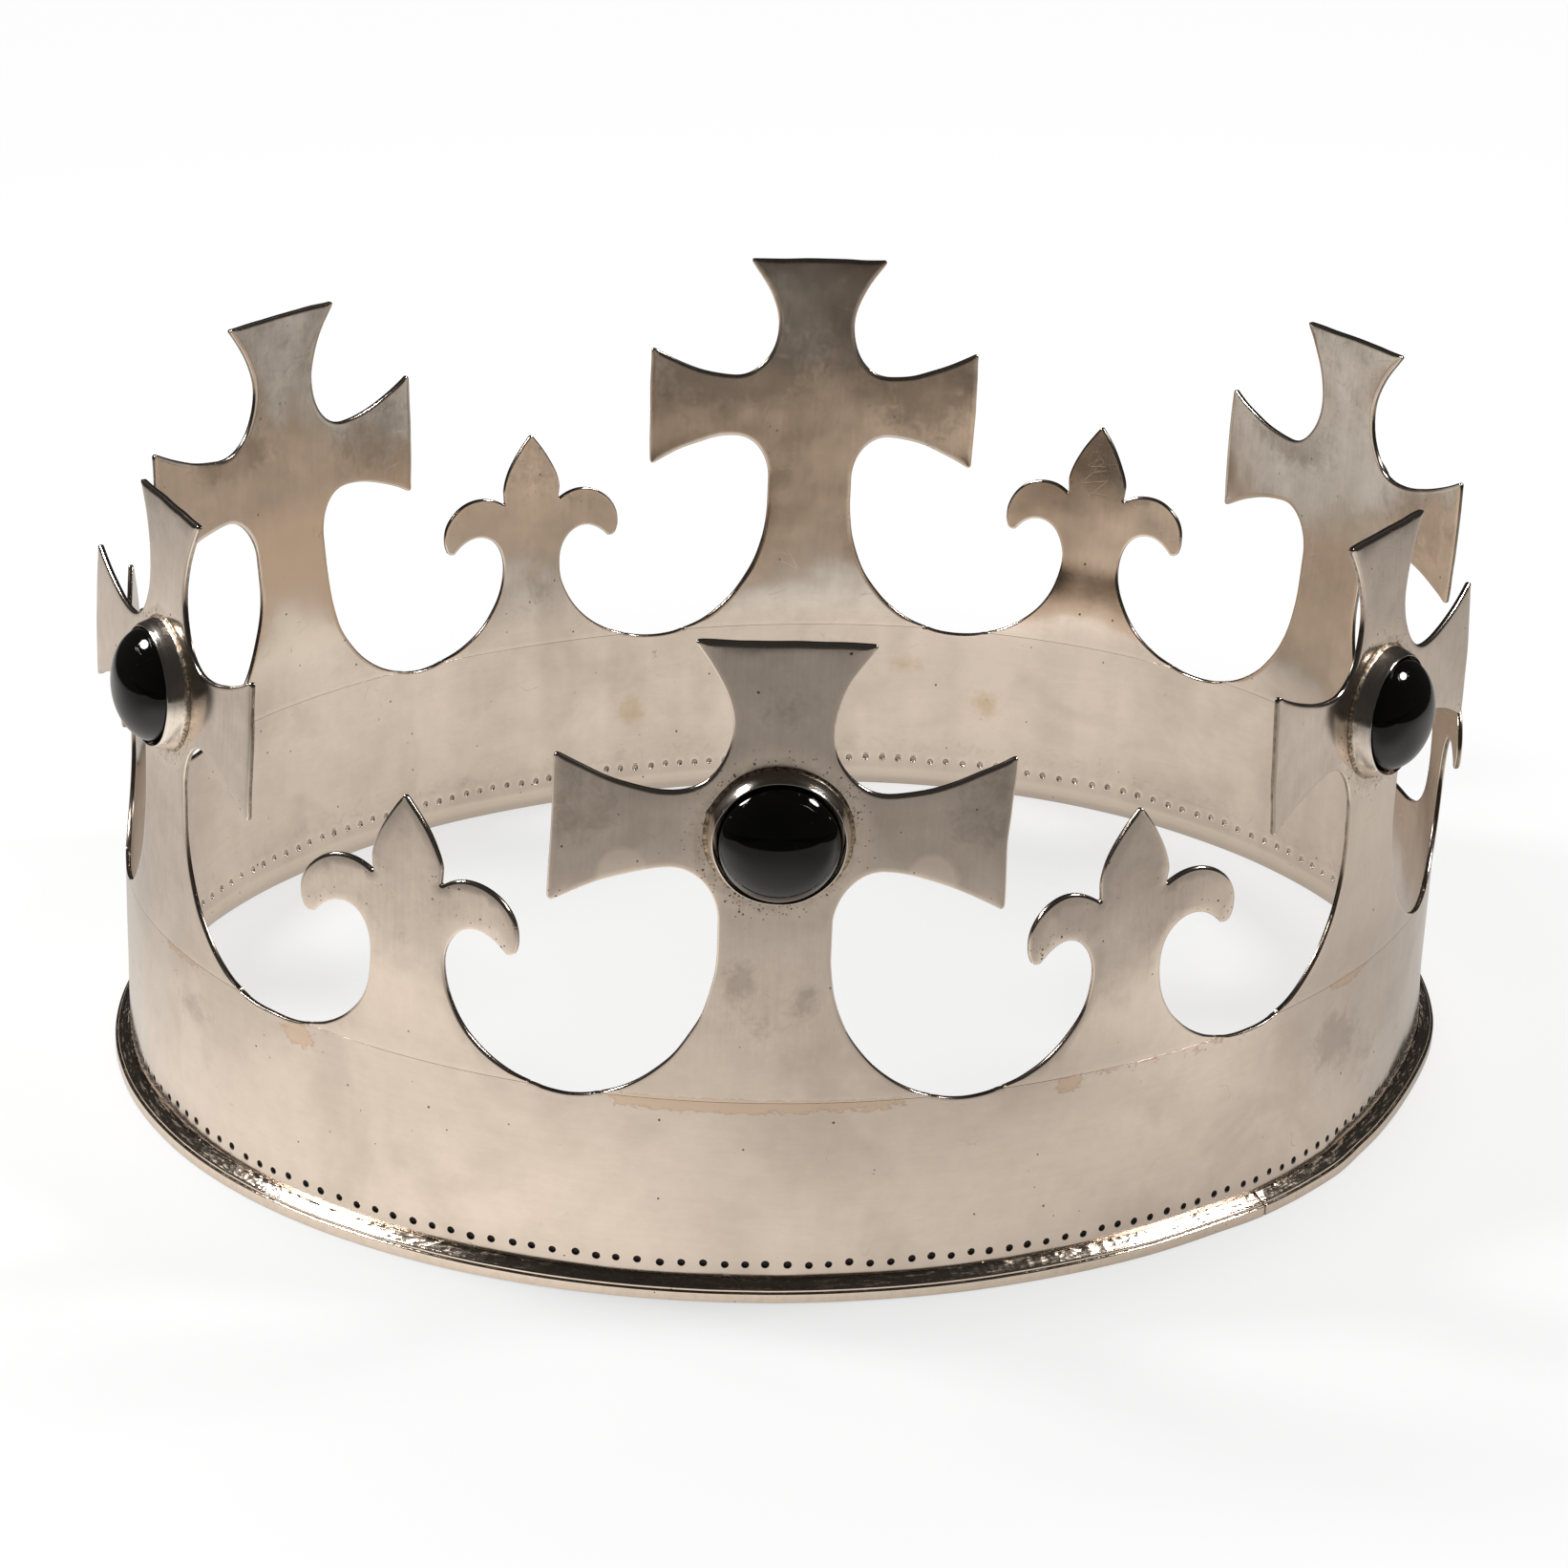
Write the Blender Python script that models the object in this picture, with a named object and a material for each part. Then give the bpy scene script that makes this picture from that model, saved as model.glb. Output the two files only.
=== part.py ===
"""Crown of sheet silver: a hoop with a rim moulding, six crosses pattee and six
fleurs-de-lis soldered on its top edge, and a collar-set cabochon on each cross.

Frame: +Z up, the crown stands on Z = 0, -Y is the front (the first cross).
Lengths below are in millimetres; the meshes are made in metres.
"""

import math

import bmesh
import bpy
from mathutils import Matrix, Vector
from mathutils.geometry import delaunay_2d_cdt

MM = 0.001

# ---------------------------------------------------------------- dimensions
SHEET = 0.8  # thickness of the sheet
GAP = 0.3  # solder gap between neighbouring pieces

# hoop
WALL_R = 95.2  # mean outer radius at the bottom edge
OVAL = 5.9  # out of round: half the difference of the two half axes
OVAL_AZ = -65.2  # azimuth of the long axis, degrees
TRI = 0.8  # three-lobed remainder of the out-of-round
TRI_AZ = 30.7
SAG = -0.00017  # the upper wall curls in slightly: offset per mm of height squared
SEAM_Z = 29.6  # height of the solder seam between hoop and finials
FACETS = 68  # flat facets round the hoop
HOLES_PER_FACET = 3  # sewing holes in each facet
HOLE_Z = 4.7  # height of the row of sewing holes
HOLE_R = 0.58  # half diagonal of a four-cornered hole, equal in area to a 0.92 mm drill

# rim moulding
RIM_OUT = 2.3  # projection beyond the hoop
RIM_FACE = 1.25  # height of the flat outer face
RIM_H = 2.85  # whole height

# finials: azimuth of each, and the outward lean and the twist of the crosses
CROSS_AZ = (-1.0, 60.6, 120.9, 178.9, 241.6, 299.6)
CROSS_LEAN = (4.0, -0.5, 2.2, 2.6, 2.1, -0.95)
CROSS_TWIST = (-0.7, 0.1, 1.5, -0.9, -0.3, -1.35)
FLEUR_AZ = (29.8, 90.7, 148.8, 211.1, 270.6, 329.4)
PLATE_Z = 62.0  # height from which a cross has left the hoop's curve and is nearly flat
PLATE_R = 490.0  # radius of a cross's slight bulge across the arms
PLATE_BULGE = 0.5  # how far the middle of a cross stands out
PETAL_FLAT_Z = 49.6  # the same for the fleurs-de-lis

# small differences of the hand-cut finials: sideways shift, tilt, stretch and lean
CROSS_SHIFT = (-0.5, 1.3, 0.7, 0.7, -0.7, -1.6)
CROSS_TILT = (0.55, -0.95, -0.3, -0.65, 1.1, 1.7)
CROSS_TALL = (0.998, 1.002, 1.005, 1.002, 1.005, 0.994)
FLEUR_SHIFT = (-0.5, 0.0, 1.4, -0.1, 0.0, -0.1)
FLEUR_TILT = (-1.5, 0.0, 0.2, -0.6, 0.0, 0.0)
FLEUR_TALL = (1.021, 1.02, 1.03, 0.992, 1.04, 1.035)
FLEUR_LEAN = (3.2, 0.0, 4.0, 0.8, 1.0, 0.6)
FLEUR_TWIST = (0.0, 0.0, 0.0, 0.0, 8.0, 0.0)

# openings between the finials
ARC_BOTTOM_Z = 28.9  # lowest point of the openings
CROSS_ARC_S, CROSS_ARC_Z = 26.6, 51.6  # middle of the cross's flared foot
CROSS_STEM = 7.25  # half width of the stem
FLEUR_ARC_S, FLEUR_ARC_Z = 22.8, 44.3
FLEUR_STEM = 5.25

# cross
CROSS_TOP = 94.8
CROSS_TOP_HALF = 11.05  # half width of the top arm's end
CROSS_NECK = 6.3  # half width of the top arm's neck
NECK_Z = 83.5  # height of the neck
ARM_HALF = 28.45  # half span of the side arms
ARM_LOW, ARM_HIGH = 58.8, 79.3  # heights of the side arms' corners
ARM_IN_LOW, ARM_IN_HIGH = 63.7, 74.4  # the same near the stone
CROTCH_S = 13.45  # where the side arms are narrowest
HIP_Z = 55.7  # where the stem turns into the side arms

# fleur-de-lis
FLEUR_TOP = 67.5
PETAL_HALF, PETAL_Z = 5.25, 57.7  # widest place of the middle petal
LOBE_S, LOBE_Z, LOBE_A, LOBE_B = 9.4, 50.5, 6.9, 6.5  # the side lobes' outer ellipse
LOBE_IN = 50.3  # top of the hollow under a lobe
HOOK_S, HOOK_Z = 14.5, 47.8  # end of the hooked lobe

# settings
STONE_Z = 68.6  # height of the stones' middle
COLLAR_R = 9.15  # collar at the cross
LIP_R = 8.4  # collar at its lip
COLLAR_H = 2.8  # height of the lip above the cross
COLLAR_T = 0.45  # wall of the collar
LEDGE_R = 6.0  # inner radius of the bearing ledge
LEDGE_TOP = 1.2  # height of the ledge
DOME = 4.2  # rise of the stone above the lip
RING_STEPS = 24

# the box's middle, seen from the hoop's axis
BOX_X, BOX_Y = 0.362, -0.786


# ---------------------------------------------------------------- the wall
def smooth(t):
    t = min(1.0, max(0.0, t))
    return t * t * (3.0 - 2.0 * t)


def lean(az):
    """Outward slope of the wall at an azimuth, eased between the crosses."""
    az = (az - CROSS_AZ[0]) % 360.0 + CROSS_AZ[0]
    stops = list(CROSS_AZ) + [CROSS_AZ[0] + 360.0]
    for k in range(6):
        if az <= stops[k + 1]:
            t = smooth((az - stops[k]) / (stops[k + 1] - stops[k]))
            a, b = CROSS_LEAN[k], CROSS_LEAN[(k + 1) % 6]
            return math.tan(math.radians(a + (b - a) * t))
    return math.tan(math.radians(CROSS_LEAN[0]))


def foot_r(az):
    """Outer radius of the hoop at its bottom edge."""
    return (
        WALL_R
        + OVAL * math.cos(2.0 * math.radians(az - OVAL_AZ))
        + TRI * math.cos(3.0 * math.radians(az - TRI_AZ))
    )


def slope(az):
    """Change of the hoop's radius per radian of azimuth."""
    return -2.0 * OVAL * math.sin(2.0 * math.radians(az - OVAL_AZ)) - 3.0 * TRI * math.sin(
        3.0 * math.radians(az - TRI_AZ)
    )


def facing(az):
    """The way the hoop's wall faces at an azimuth, in degrees."""
    return az - math.degrees(math.atan2(slope(az), foot_r(az)))


def outward(az):
    a = math.radians(az)
    return Vector((math.sin(a), -math.cos(a), 0.0))


def along(az):
    a = math.radians(az)
    return Vector((math.cos(a), math.sin(a), 0.0))


def on_wall(az, z, out=0.0):
    push = lean(az) * z + SAG * z * z + out
    return outward(az) * foot_r(az) + outward(facing(az)) * push + Vector((0.0, 0.0, z))


def turned(az, s):
    """The azimuth at arc length s from an azimuth."""
    half = az + math.degrees(0.5 * s / math.hypot(foot_r(az), slope(az)))
    return az + math.degrees(s / math.hypot(foot_r(half), slope(half)))


def hand_cut(s, z, shift, tilt, tall):
    """A point of a finial's outline, moved by that finial's small differences."""
    t = math.sin(math.radians(tilt)) * smooth((z - SEAM_Z) / 20.0)
    up = z - SEAM_Z
    return s + shift + up * t, SEAM_Z + up * tall - s * t


def on_plate(az, twist, flat_z, s, z, out):
    """A finial follows the hoop at its foot and is flat, pushed by out, from flat_z up."""
    twisted = facing(az) + twist
    flat = on_wall(az, z) + along(twisted) * s + outward(twisted) * out
    return on_wall(turned(az, s), z, out).lerp(flat, smooth((z - SEAM_Z) / (flat_z - SEAM_Z)))


def on_fleur(k, s, z, out=0.0):
    s, z = hand_cut(s, z, FLEUR_SHIFT[k], FLEUR_TILT[k], FLEUR_TALL[k])
    up = max(0.0, z - SEAM_Z)
    push = math.tan(math.radians(FLEUR_LEAN[k])) * up * smooth(up / 15.0)
    return on_plate(FLEUR_AZ[k], FLEUR_TWIST[k], PETAL_FLAT_Z, s, z, out) + outward(facing(FLEUR_AZ[k])) * push


def on_cross(k, s, z, out=0.0):
    s, z = hand_cut(s, z, CROSS_SHIFT[k], CROSS_TILT[k], CROSS_TALL[k])
    push = (PLATE_BULGE - s * s / (2.0 * PLATE_R)) * smooth((z - SEAM_Z) / (PLATE_Z - SEAM_Z))
    return on_plate(CROSS_AZ[k], CROSS_TWIST[k], PLATE_Z, s, z, out + push)


# ---------------------------------------------------------------- outlines
def foot_arc(arc_s, arc_z, stem, z):
    """Arc length, from the finial's middle, of the flared foot's edge at height z."""
    c = min(1.0, (arc_z - z) / (arc_z - ARC_BOTTOM_Z))
    return arc_s - (arc_s - stem) * math.sqrt(1.0 - c * c)


def foot_points(arc_s, arc_z, stem, low, steps):
    start = math.acos((arc_z - low) / (arc_z - ARC_BOTTOM_Z))
    points = []
    for i in range(steps + 1):
        t = start + (math.pi / 2 - start) * i / steps
        points.append(
            (arc_s - (arc_s - stem) * math.sin(t), arc_z - (arc_z - ARC_BOTTOM_Z) * math.cos(t))
        )
    return points


FOOT_Z = SEAM_Z + GAP / 2  # underside of the finials
FOOT_TIP = FOOT_Z + 0.25  # the feet's points are blunt


def cross_half():
    """Right half of a cross, from the middle of its foot to the top arm's corner."""
    p = [(foot_arc(CROSS_ARC_S, CROSS_ARC_Z, CROSS_STEM, FOOT_TIP), FOOT_Z)]
    p += foot_points(CROSS_ARC_S, CROSS_ARC_Z, CROSS_STEM, FOOT_TIP, 8)
    for i in range(5):
        t = math.radians(90.0 * i / 4)
        p.append(
            (
                CROTCH_S - (CROTCH_S - CROSS_STEM) * math.cos(t),
                HIP_Z + (ARM_IN_LOW - HIP_Z) * math.sin(t),
            )
        )
    for i in range(1, 4):
        t = i / 3
        p.append((CROTCH_S + (ARM_HALF - 0.4 - CROTCH_S) * t, ARM_IN_LOW + (ARM_LOW - ARM_IN_LOW) * t**1.7))
    p.append((ARM_HALF - 0.1, ARM_LOW + 0.5))
    p.append((ARM_HALF + 0.1, ARM_HIGH - 0.5))
    for i in range(3, 0, -1):
        t = i / 3
        p.append((CROTCH_S + (ARM_HALF - 0.3 - CROTCH_S) * t, ARM_IN_HIGH + (ARM_HIGH - ARM_IN_HIGH) * t**1.8))
    for i in range(5):
        t = math.radians(90.0 * i / 4)
        p.append(
            (
                CROTCH_S - (CROTCH_S - CROSS_NECK) * math.sin(t),
                NECK_Z - (NECK_Z - ARM_IN_HIGH) * math.cos(t),
            )
        )
    for i in range(1, 5):
        t = i / 4
        p.append((CROSS_NECK + (CROSS_TOP_HALF - CROSS_NECK) * t**1.8, NECK_Z + (CROSS_TOP - 0.4 - NECK_Z) * t))
    p.append((CROSS_TOP_HALF - 0.3, CROSS_TOP))
    return p


def fleur_half():
    """Right half of a fleur-de-lis, from the foot's point to just below the tip."""
    p = [(foot_arc(FLEUR_ARC_S, FLEUR_ARC_Z, FLEUR_STEM, FOOT_TIP), FOOT_Z)]
    p += foot_points(FLEUR_ARC_S, FLEUR_ARC_Z, FLEUR_STEM, FOOT_TIP, 6)
    crest = 10.0  # middle of the hollow under the lobe
    for i in range(1, 5):
        t = math.radians(90.0 * i / 4)
        p.append(
            (
                crest - (crest - FLEUR_STEM) * math.cos(t),
                FLEUR_ARC_Z + (LOBE_IN - FLEUR_ARC_Z) * math.sin(t),
            )
        )
    for i in range(1, 4):
        t = i / 3
        p.append((crest + (HOOK_S - crest) * t, LOBE_IN + (HOOK_Z - LOBE_IN) * t**2))
    p.append((HOOK_S + 1.2, HOOK_Z + 0.3))
    p.append((LOBE_S + LOBE_A - 0.2, HOOK_Z + 1.1))
    notch = math.pi - math.acos((LOBE_S - PETAL_HALF + 0.2) / LOBE_A)
    for i in range(7):
        t = notch * i / 6
        p.append((LOBE_S + LOBE_A * math.cos(t), LOBE_Z + LOBE_B * math.sin(t)))
    for i in range(6):
        t = i / 6
        p.append((PETAL_HALF * (1.0 - t**1.6), PETAL_Z + (FLEUR_TOP - PETAL_Z) * t))
    return p


def mirrored(half, tip):
    """The whole outline, run counter-clockwise, from its right half."""
    left = [(-s, z) for s, z in reversed(half)]
    return half + tip + left


def inside(point, loop):
    x, y = point
    odd = False
    for (x1, y1), (x2, y2) in zip(loop, loop[1:] + loop[:1]):
        if (y1 > y) != (y2 > y) and x < x1 + (x2 - x1) * (y - y1) / (y2 - y1):
            odd = not odd
    return odd


# ---------------------------------------------------------------- sheet pieces
def flat_triangles(loop, bends, holes=()):
    """Triangles of a flat outline, split along the bend lines, without its holes."""
    points, edges = [], []
    for ring in (loop, *holes):
        first = len(points)
        points += ring
        edges += [(first + i, first + (i + 1) % len(ring)) for i in range(len(ring))]
    for a, b in bends:
        edges.append((len(points), len(points) + 1))
        points += [a, b]
    out = delaunay_2d_cdt([Vector(p) for p in points], edges, [], 0, 1e-5)
    points, faces = [tuple(p) for p in out[0]], []
    for face in out[2]:
        x = sum(points[i][0] for i in face) / 3
        y = sum(points[i][1] for i in face) / 3
        if inside((x, y), loop) and not any(
            abs(x - h[0][0]) < 4 * HOLE_R and inside((x, y), h) for h in holes
        ):
            faces.append(tuple(face))
    return points, faces


def sheet_mesh(name, points, faces, place, wrap=0.0):
    """A sheet of even thickness: place(s, z, out) bends the flat points into shape."""
    bm = bmesh.new()
    layers = []
    for out in (0.0, -SHEET):
        made, layer = {}, []
        for s, z in points:
            key = (round(s % wrap if wrap else s, 4), round(z, 4))
            if wrap and abs(key[0] - wrap) < 1e-3:
                key = (0.0, key[1])
            if key not in made:
                made[key] = bm.verts.new(place(key[0], key[1], out) * MM)
            layer.append(made[key])
        layers.append(layer)
    outer, inner = layers
    count = {}
    for a, b, c in faces:
        bm.faces.new((outer[a], outer[b], outer[c]))
        bm.faces.new((inner[c], inner[b], inner[a]))
        for i, j in ((a, b), (b, c), (c, a)):
            key = (outer[i], outer[j])
            if (key[1], key[0]) in count:
                del count[(key[1], key[0])]
            else:
                count[key] = (inner[i], inner[j])
    for (a, b), (c, d) in count.items():
        bm.faces.new((b, a, c, d))
    used = [v for v in bm.verts if not v.link_faces]
    bmesh.ops.delete(bm, geom=used, context="VERTS")
    bmesh.ops.recalc_face_normals(bm, faces=bm.faces)
    mesh = bpy.data.meshes.new(name)
    bm.to_mesh(mesh)
    bm.free()
    return mesh


def ring_mesh(name, profile, steps):
    """A turned piece: the closed (radius, height) profile spun about Z."""
    bm = bmesh.new()
    rings = []
    for k in range(steps):
        a = 2.0 * math.pi * k / steps
        rings.append([bm.verts.new((r * math.cos(a) * MM, r * math.sin(a) * MM, h * MM)) for r, h in profile])
    n = len(profile)
    for k in range(steps):
        here, there = rings[k], rings[(k + 1) % steps]
        for i in range(n):
            j = (i + 1) % n
            bm.faces.new((here[i], there[i], there[j], here[j]))
    bmesh.ops.recalc_face_normals(bm, faces=bm.faces)
    mesh = bpy.data.meshes.new(name)
    bm.to_mesh(mesh)
    bm.free()
    return mesh


def dome_mesh(name, profile, steps):
    """A turned solid on its axis: an (r, h) profile from the base's edge to the top."""
    bm = bmesh.new()
    rings = []
    for r, h in profile[:-1]:
        rings.append(
            [
                bm.verts.new((r * math.cos(2 * math.pi * k / steps) * MM, r * math.sin(2 * math.pi * k / steps) * MM, h * MM))
                for k in range(steps)
            ]
        )
    top = bm.verts.new((0.0, 0.0, profile[-1][1] * MM))
    for low, high in zip(rings, rings[1:]):
        for k in range(steps):
            j = (k + 1) % steps
            bm.faces.new((low[k], low[j], high[j], high[k]))
    for k in range(steps):
        bm.faces.new((rings[-1][k], rings[-1][(k + 1) % steps], top))
    bm.faces.new(list(reversed(rings[0])))
    bmesh.ops.recalc_face_normals(bm, faces=bm.faces)
    mesh = bpy.data.meshes.new(name)
    bm.to_mesh(mesh)
    bm.free()
    return mesh


# ---------------------------------------------------------------- scene
def material(name, colour, metallic, roughness):
    mat = bpy.data.materials.new(name)
    mat.use_nodes = True
    shader = mat.node_tree.nodes["Principled BSDF"]
    shader.inputs["Base Color"].default_value = (*colour, 1.0)
    shader.inputs["Metallic"].default_value = metallic
    shader.inputs["Roughness"].default_value = roughness
    return mat


def add(name, mesh, mat, crown, matrix=None):
    mesh.materials.append(mat)
    mesh.shade_smooth()
    mesh.set_sharp_from_angle(angle=math.radians(35.0))
    obj = bpy.data.objects.new(name, mesh)
    bpy.context.scene.collection.objects.link(obj)
    obj.parent = crown
    if matrix is not None:
        obj.matrix_local = matrix
    return obj


def feet():
    """The finials' feet: their middles' azimuths and the shape of the flare."""
    crosses = [turned(a, s) for a, s in zip(CROSS_AZ, CROSS_SHIFT)]
    fleurs = [turned(a, s) for a, s in zip(FLEUR_AZ, FLEUR_SHIFT)]
    return (
        (crosses, CROSS_ARC_S, CROSS_ARC_Z, CROSS_STEM),
        (fleurs, FLEUR_ARC_S, FLEUR_ARC_Z, FLEUR_STEM),
    )


def top_edge(az):
    """Height of the hoop's top edge: the openings dip a little below the seam."""
    top, height = SEAM_Z - GAP / 2, ARC_BOTTOM_Z
    for middles, arc_s, arc_z, stem in feet():
        for middle in middles:
            off = (az - middle + 180.0) % 360.0 - 180.0
            half = middle + off / 2
            s = math.radians(abs(off)) * math.hypot(foot_r(half), slope(half))
            if s < arc_s:
                u = (arc_s - s) / (arc_s - stem)
                rise = 1.0 - math.sqrt(max(0.0, 1.0 - u * u)) if u < 1.0 else 1.0
                height = max(height, ARC_BOTTOM_Z + (arc_z - ARC_BOTTOM_Z) * rise)
    return min(top, height)


def hoop_mesh():
    """The hoop, unrolled: u is the azimuth in facets, z the height."""
    per = 360.0 / FACETS
    stops = {float(k): None for k in range(FACETS + 1)}
    for middles, arc_s, arc_z, stem in feet():
        end = foot_arc(arc_s, arc_z, stem, SEAM_Z - GAP / 2)
        for middle in middles:
            for s in (end, end + 0.4 * (arc_s - end), arc_s):
                for side in (-1.0, 1.0):
                    u = ((turned(middle, side * s)) % 360.0) / per
                    if min(abs(u - round(u)), 1.0) > 0.06:
                        stops[u] = None
    top = [(u, top_edge(u * per)) for u in sorted(stops, reverse=True)]
    loop = [(float(k), 0.0) for k in range(FACETS + 1)] + top
    bends = [((float(k), 0.0), (float(k), top_edge(k * per))) for k in range(1, FACETS)]
    holes = []
    for k in range(FACETS):
        for j in range(HOLES_PER_FACET):
            u = k + (j + 0.5) / HOLES_PER_FACET
            du = math.degrees(HOLE_R / foot_r(u * per)) / per
            holes.append([(u, HOLE_Z - HOLE_R), (u + du, HOLE_Z), (u, HOLE_Z + HOLE_R), (u - du, HOLE_Z)])
    points, faces = flat_triangles(loop, bends, holes)
    return sheet_mesh("hoop", points, faces, lambda u, z, out: on_wall(u * per, z, out), float(FACETS))


def rim_mesh():
    """The moulding's section carried round the hoop's foot."""
    section = (
        (GAP, 0.0),
        (RIM_OUT, 0.0),
        (RIM_OUT, RIM_FACE),
        (RIM_OUT - 0.25, RIM_FACE + 0.22),
        (RIM_OUT - 0.75, RIM_FACE + 0.35),
        (GAP + 0.4, RIM_H - 0.75),
        (GAP + 0.22, RIM_H),
        (GAP, RIM_H),
    )
    bm = bmesh.new()
    rings = []
    for k in range(FACETS):
        az = 360.0 * k / FACETS
        rings.append([bm.verts.new(on_wall(az, z, r) * MM) for r, z in section])
    n = len(section)
    for k in range(FACETS):
        here, there = rings[k], rings[(k + 1) % FACETS]
        for i in range(n):
            j = (i + 1) % n
            bm.faces.new((here[i], there[i], there[j], here[j]))
    bmesh.ops.recalc_face_normals(bm, faces=bm.faces)
    mesh = bpy.data.meshes.new("rim_moulding")
    bm.to_mesh(mesh)
    bm.free()
    return mesh


def setting_matrix(k):
    """Where a setting stands: on the outer face of cross k, its axis along the normal."""
    here = on_cross(k, 0.0, STONE_Z)
    side = (on_cross(k, 1.0, STONE_Z) - on_cross(k, -1.0, STONE_Z)).normalized()
    up = (on_cross(k, 0.0, STONE_Z + 1.0) - on_cross(k, 0.0, STONE_Z - 1.0)).normalized()
    axis = side.cross(up).normalized()
    up = axis.cross(side)
    turn = Matrix((side, up, axis)).transposed().to_4x4()
    return Matrix.Translation(here * MM) @ turn


def main():
    for obj in list(bpy.data.objects):
        bpy.data.objects.remove(obj, do_unlink=True)
    silver = material("silver", (0.78, 0.73, 0.67), 1.0, 0.22)
    moulding = material("silver_moulding", (0.74, 0.69, 0.63), 1.0, 0.25)
    crosses = material("silver_cross", (0.76, 0.71, 0.65), 1.0, 0.2)
    fleurs = material("silver_fleur", (0.76, 0.71, 0.65), 1.0, 0.2)
    collar = material("silver_collar", (0.72, 0.67, 0.6), 1.0, 0.25)
    ledge = material("silver_ledge", (0.7, 0.66, 0.6), 1.0, 0.35)
    black = material("black_stone", (0.008, 0.008, 0.009), 0.0, 0.05)

    crown = bpy.data.objects.new("crown", None)
    bpy.context.scene.collection.objects.link(crown)
    crown.location = (-BOX_X * MM, -BOX_Y * MM, 0.0)

    add("hoop", hoop_mesh(), silver, crown)
    add("rim_moulding", rim_mesh(), moulding, crown)

    outline = mirrored(cross_half(), [])
    bends = [((s, FOOT_Z + 0.2), (s, 60.0)) for s in (-5.0, 0.0, 5.0)]
    bends += [((s, FOOT_Z + 0.05), (s, 37.0)) for s in (-15.0, -10.0, 10.0, 15.0)]
    bends += [((-9.5, z), (9.5, z)) for z in (37.0, 45.5, 53.5, 62.0)]
    flat_cross = flat_triangles(outline, bends)
    outline = mirrored(fleur_half(), [(0.0, FLEUR_TOP)])
    bends = [((s, FOOT_Z + 0.05), (s, 53.5)) for s in (-2.0, 2.0)]
    bends += [((s, FOOT_Z + 0.05), (s, 33.0)) for s in (-12.0, -7.0, 7.0, 12.0)]
    flat_fleur = flat_triangles(outline, bends)

    wall = COLLAR_T
    section = (
        (COLLAR_R - wall, GAP),
        (COLLAR_R, GAP),
        (LIP_R, COLLAR_H),
        (LIP_R - wall, COLLAR_H),
    )
    inner_base = COLLAR_R - wall - (COLLAR_R - LIP_R) * (LEDGE_TOP - GAP) / (COLLAR_H - GAP)
    ledge_section = (
        (LEDGE_R, GAP),
        (inner_base - GAP, GAP),
        (inner_base - GAP, LEDGE_TOP),
        (LEDGE_R, LEDGE_TOP),
    )
    girdle = LIP_R - wall - GAP
    dome = [(girdle - 0.3, LEDGE_TOP + GAP), (girdle, LEDGE_TOP + GAP + 0.4), (girdle, COLLAR_H - 0.2)]
    for i in range(1, 5):
        t = math.radians(90.0 * i / 4)
        dome.append((girdle * math.cos(t), COLLAR_H - 0.2 + (DOME + 0.2) * math.sin(t)))
    for k in range(6):
        add(
            f"cross_{k + 1}",
            sheet_mesh(f"cross_{k + 1}", *flat_cross, lambda s, z, out, k=k: on_cross(k, s, z, out)),
            crosses,
            crown,
        )
        add(
            f"fleur_{k + 1}",
            sheet_mesh(f"fleur_{k + 1}", *flat_fleur, lambda s, z, out, k=k: on_fleur(k, s, z, out)),
            fleurs,
            crown,
        )
        stand = setting_matrix(k)
        add(f"bezel_{k + 1}", ring_mesh(f"bezel_{k + 1}", section, RING_STEPS), collar, crown, stand)
        add(f"bearing_{k + 1}", ring_mesh(f"bearing_{k + 1}", ledge_section, RING_STEPS), ledge, crown, stand)
        add(f"stone_{k + 1}", dome_mesh(f"stone_{k + 1}", dome, RING_STEPS), black, crown, stand)


main()
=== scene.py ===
"""Looks of the sheet-silver crown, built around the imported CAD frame.

Lengths in the shape code are millimetres measured from the hoop's axis; at() turns
them into the frame's metres. +Z is up and -Y is the front.
"""

import math
import random

import bpy
import numpy as np
from mathutils import Matrix, Vector, noise
from mathutils.geometry import delaunay_2d_cdt


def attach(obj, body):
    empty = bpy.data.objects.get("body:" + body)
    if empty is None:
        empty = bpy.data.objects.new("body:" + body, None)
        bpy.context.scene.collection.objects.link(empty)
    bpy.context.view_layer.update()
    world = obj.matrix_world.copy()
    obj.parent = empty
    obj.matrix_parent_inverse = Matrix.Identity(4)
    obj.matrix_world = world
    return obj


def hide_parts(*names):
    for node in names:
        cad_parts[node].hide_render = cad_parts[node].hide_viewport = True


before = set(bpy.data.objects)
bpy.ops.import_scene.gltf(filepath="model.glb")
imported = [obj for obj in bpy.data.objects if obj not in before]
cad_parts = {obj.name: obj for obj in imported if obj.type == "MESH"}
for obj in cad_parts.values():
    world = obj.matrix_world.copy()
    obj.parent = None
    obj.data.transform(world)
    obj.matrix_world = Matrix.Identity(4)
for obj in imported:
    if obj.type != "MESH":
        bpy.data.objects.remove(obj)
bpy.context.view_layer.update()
MM = 0.001

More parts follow.
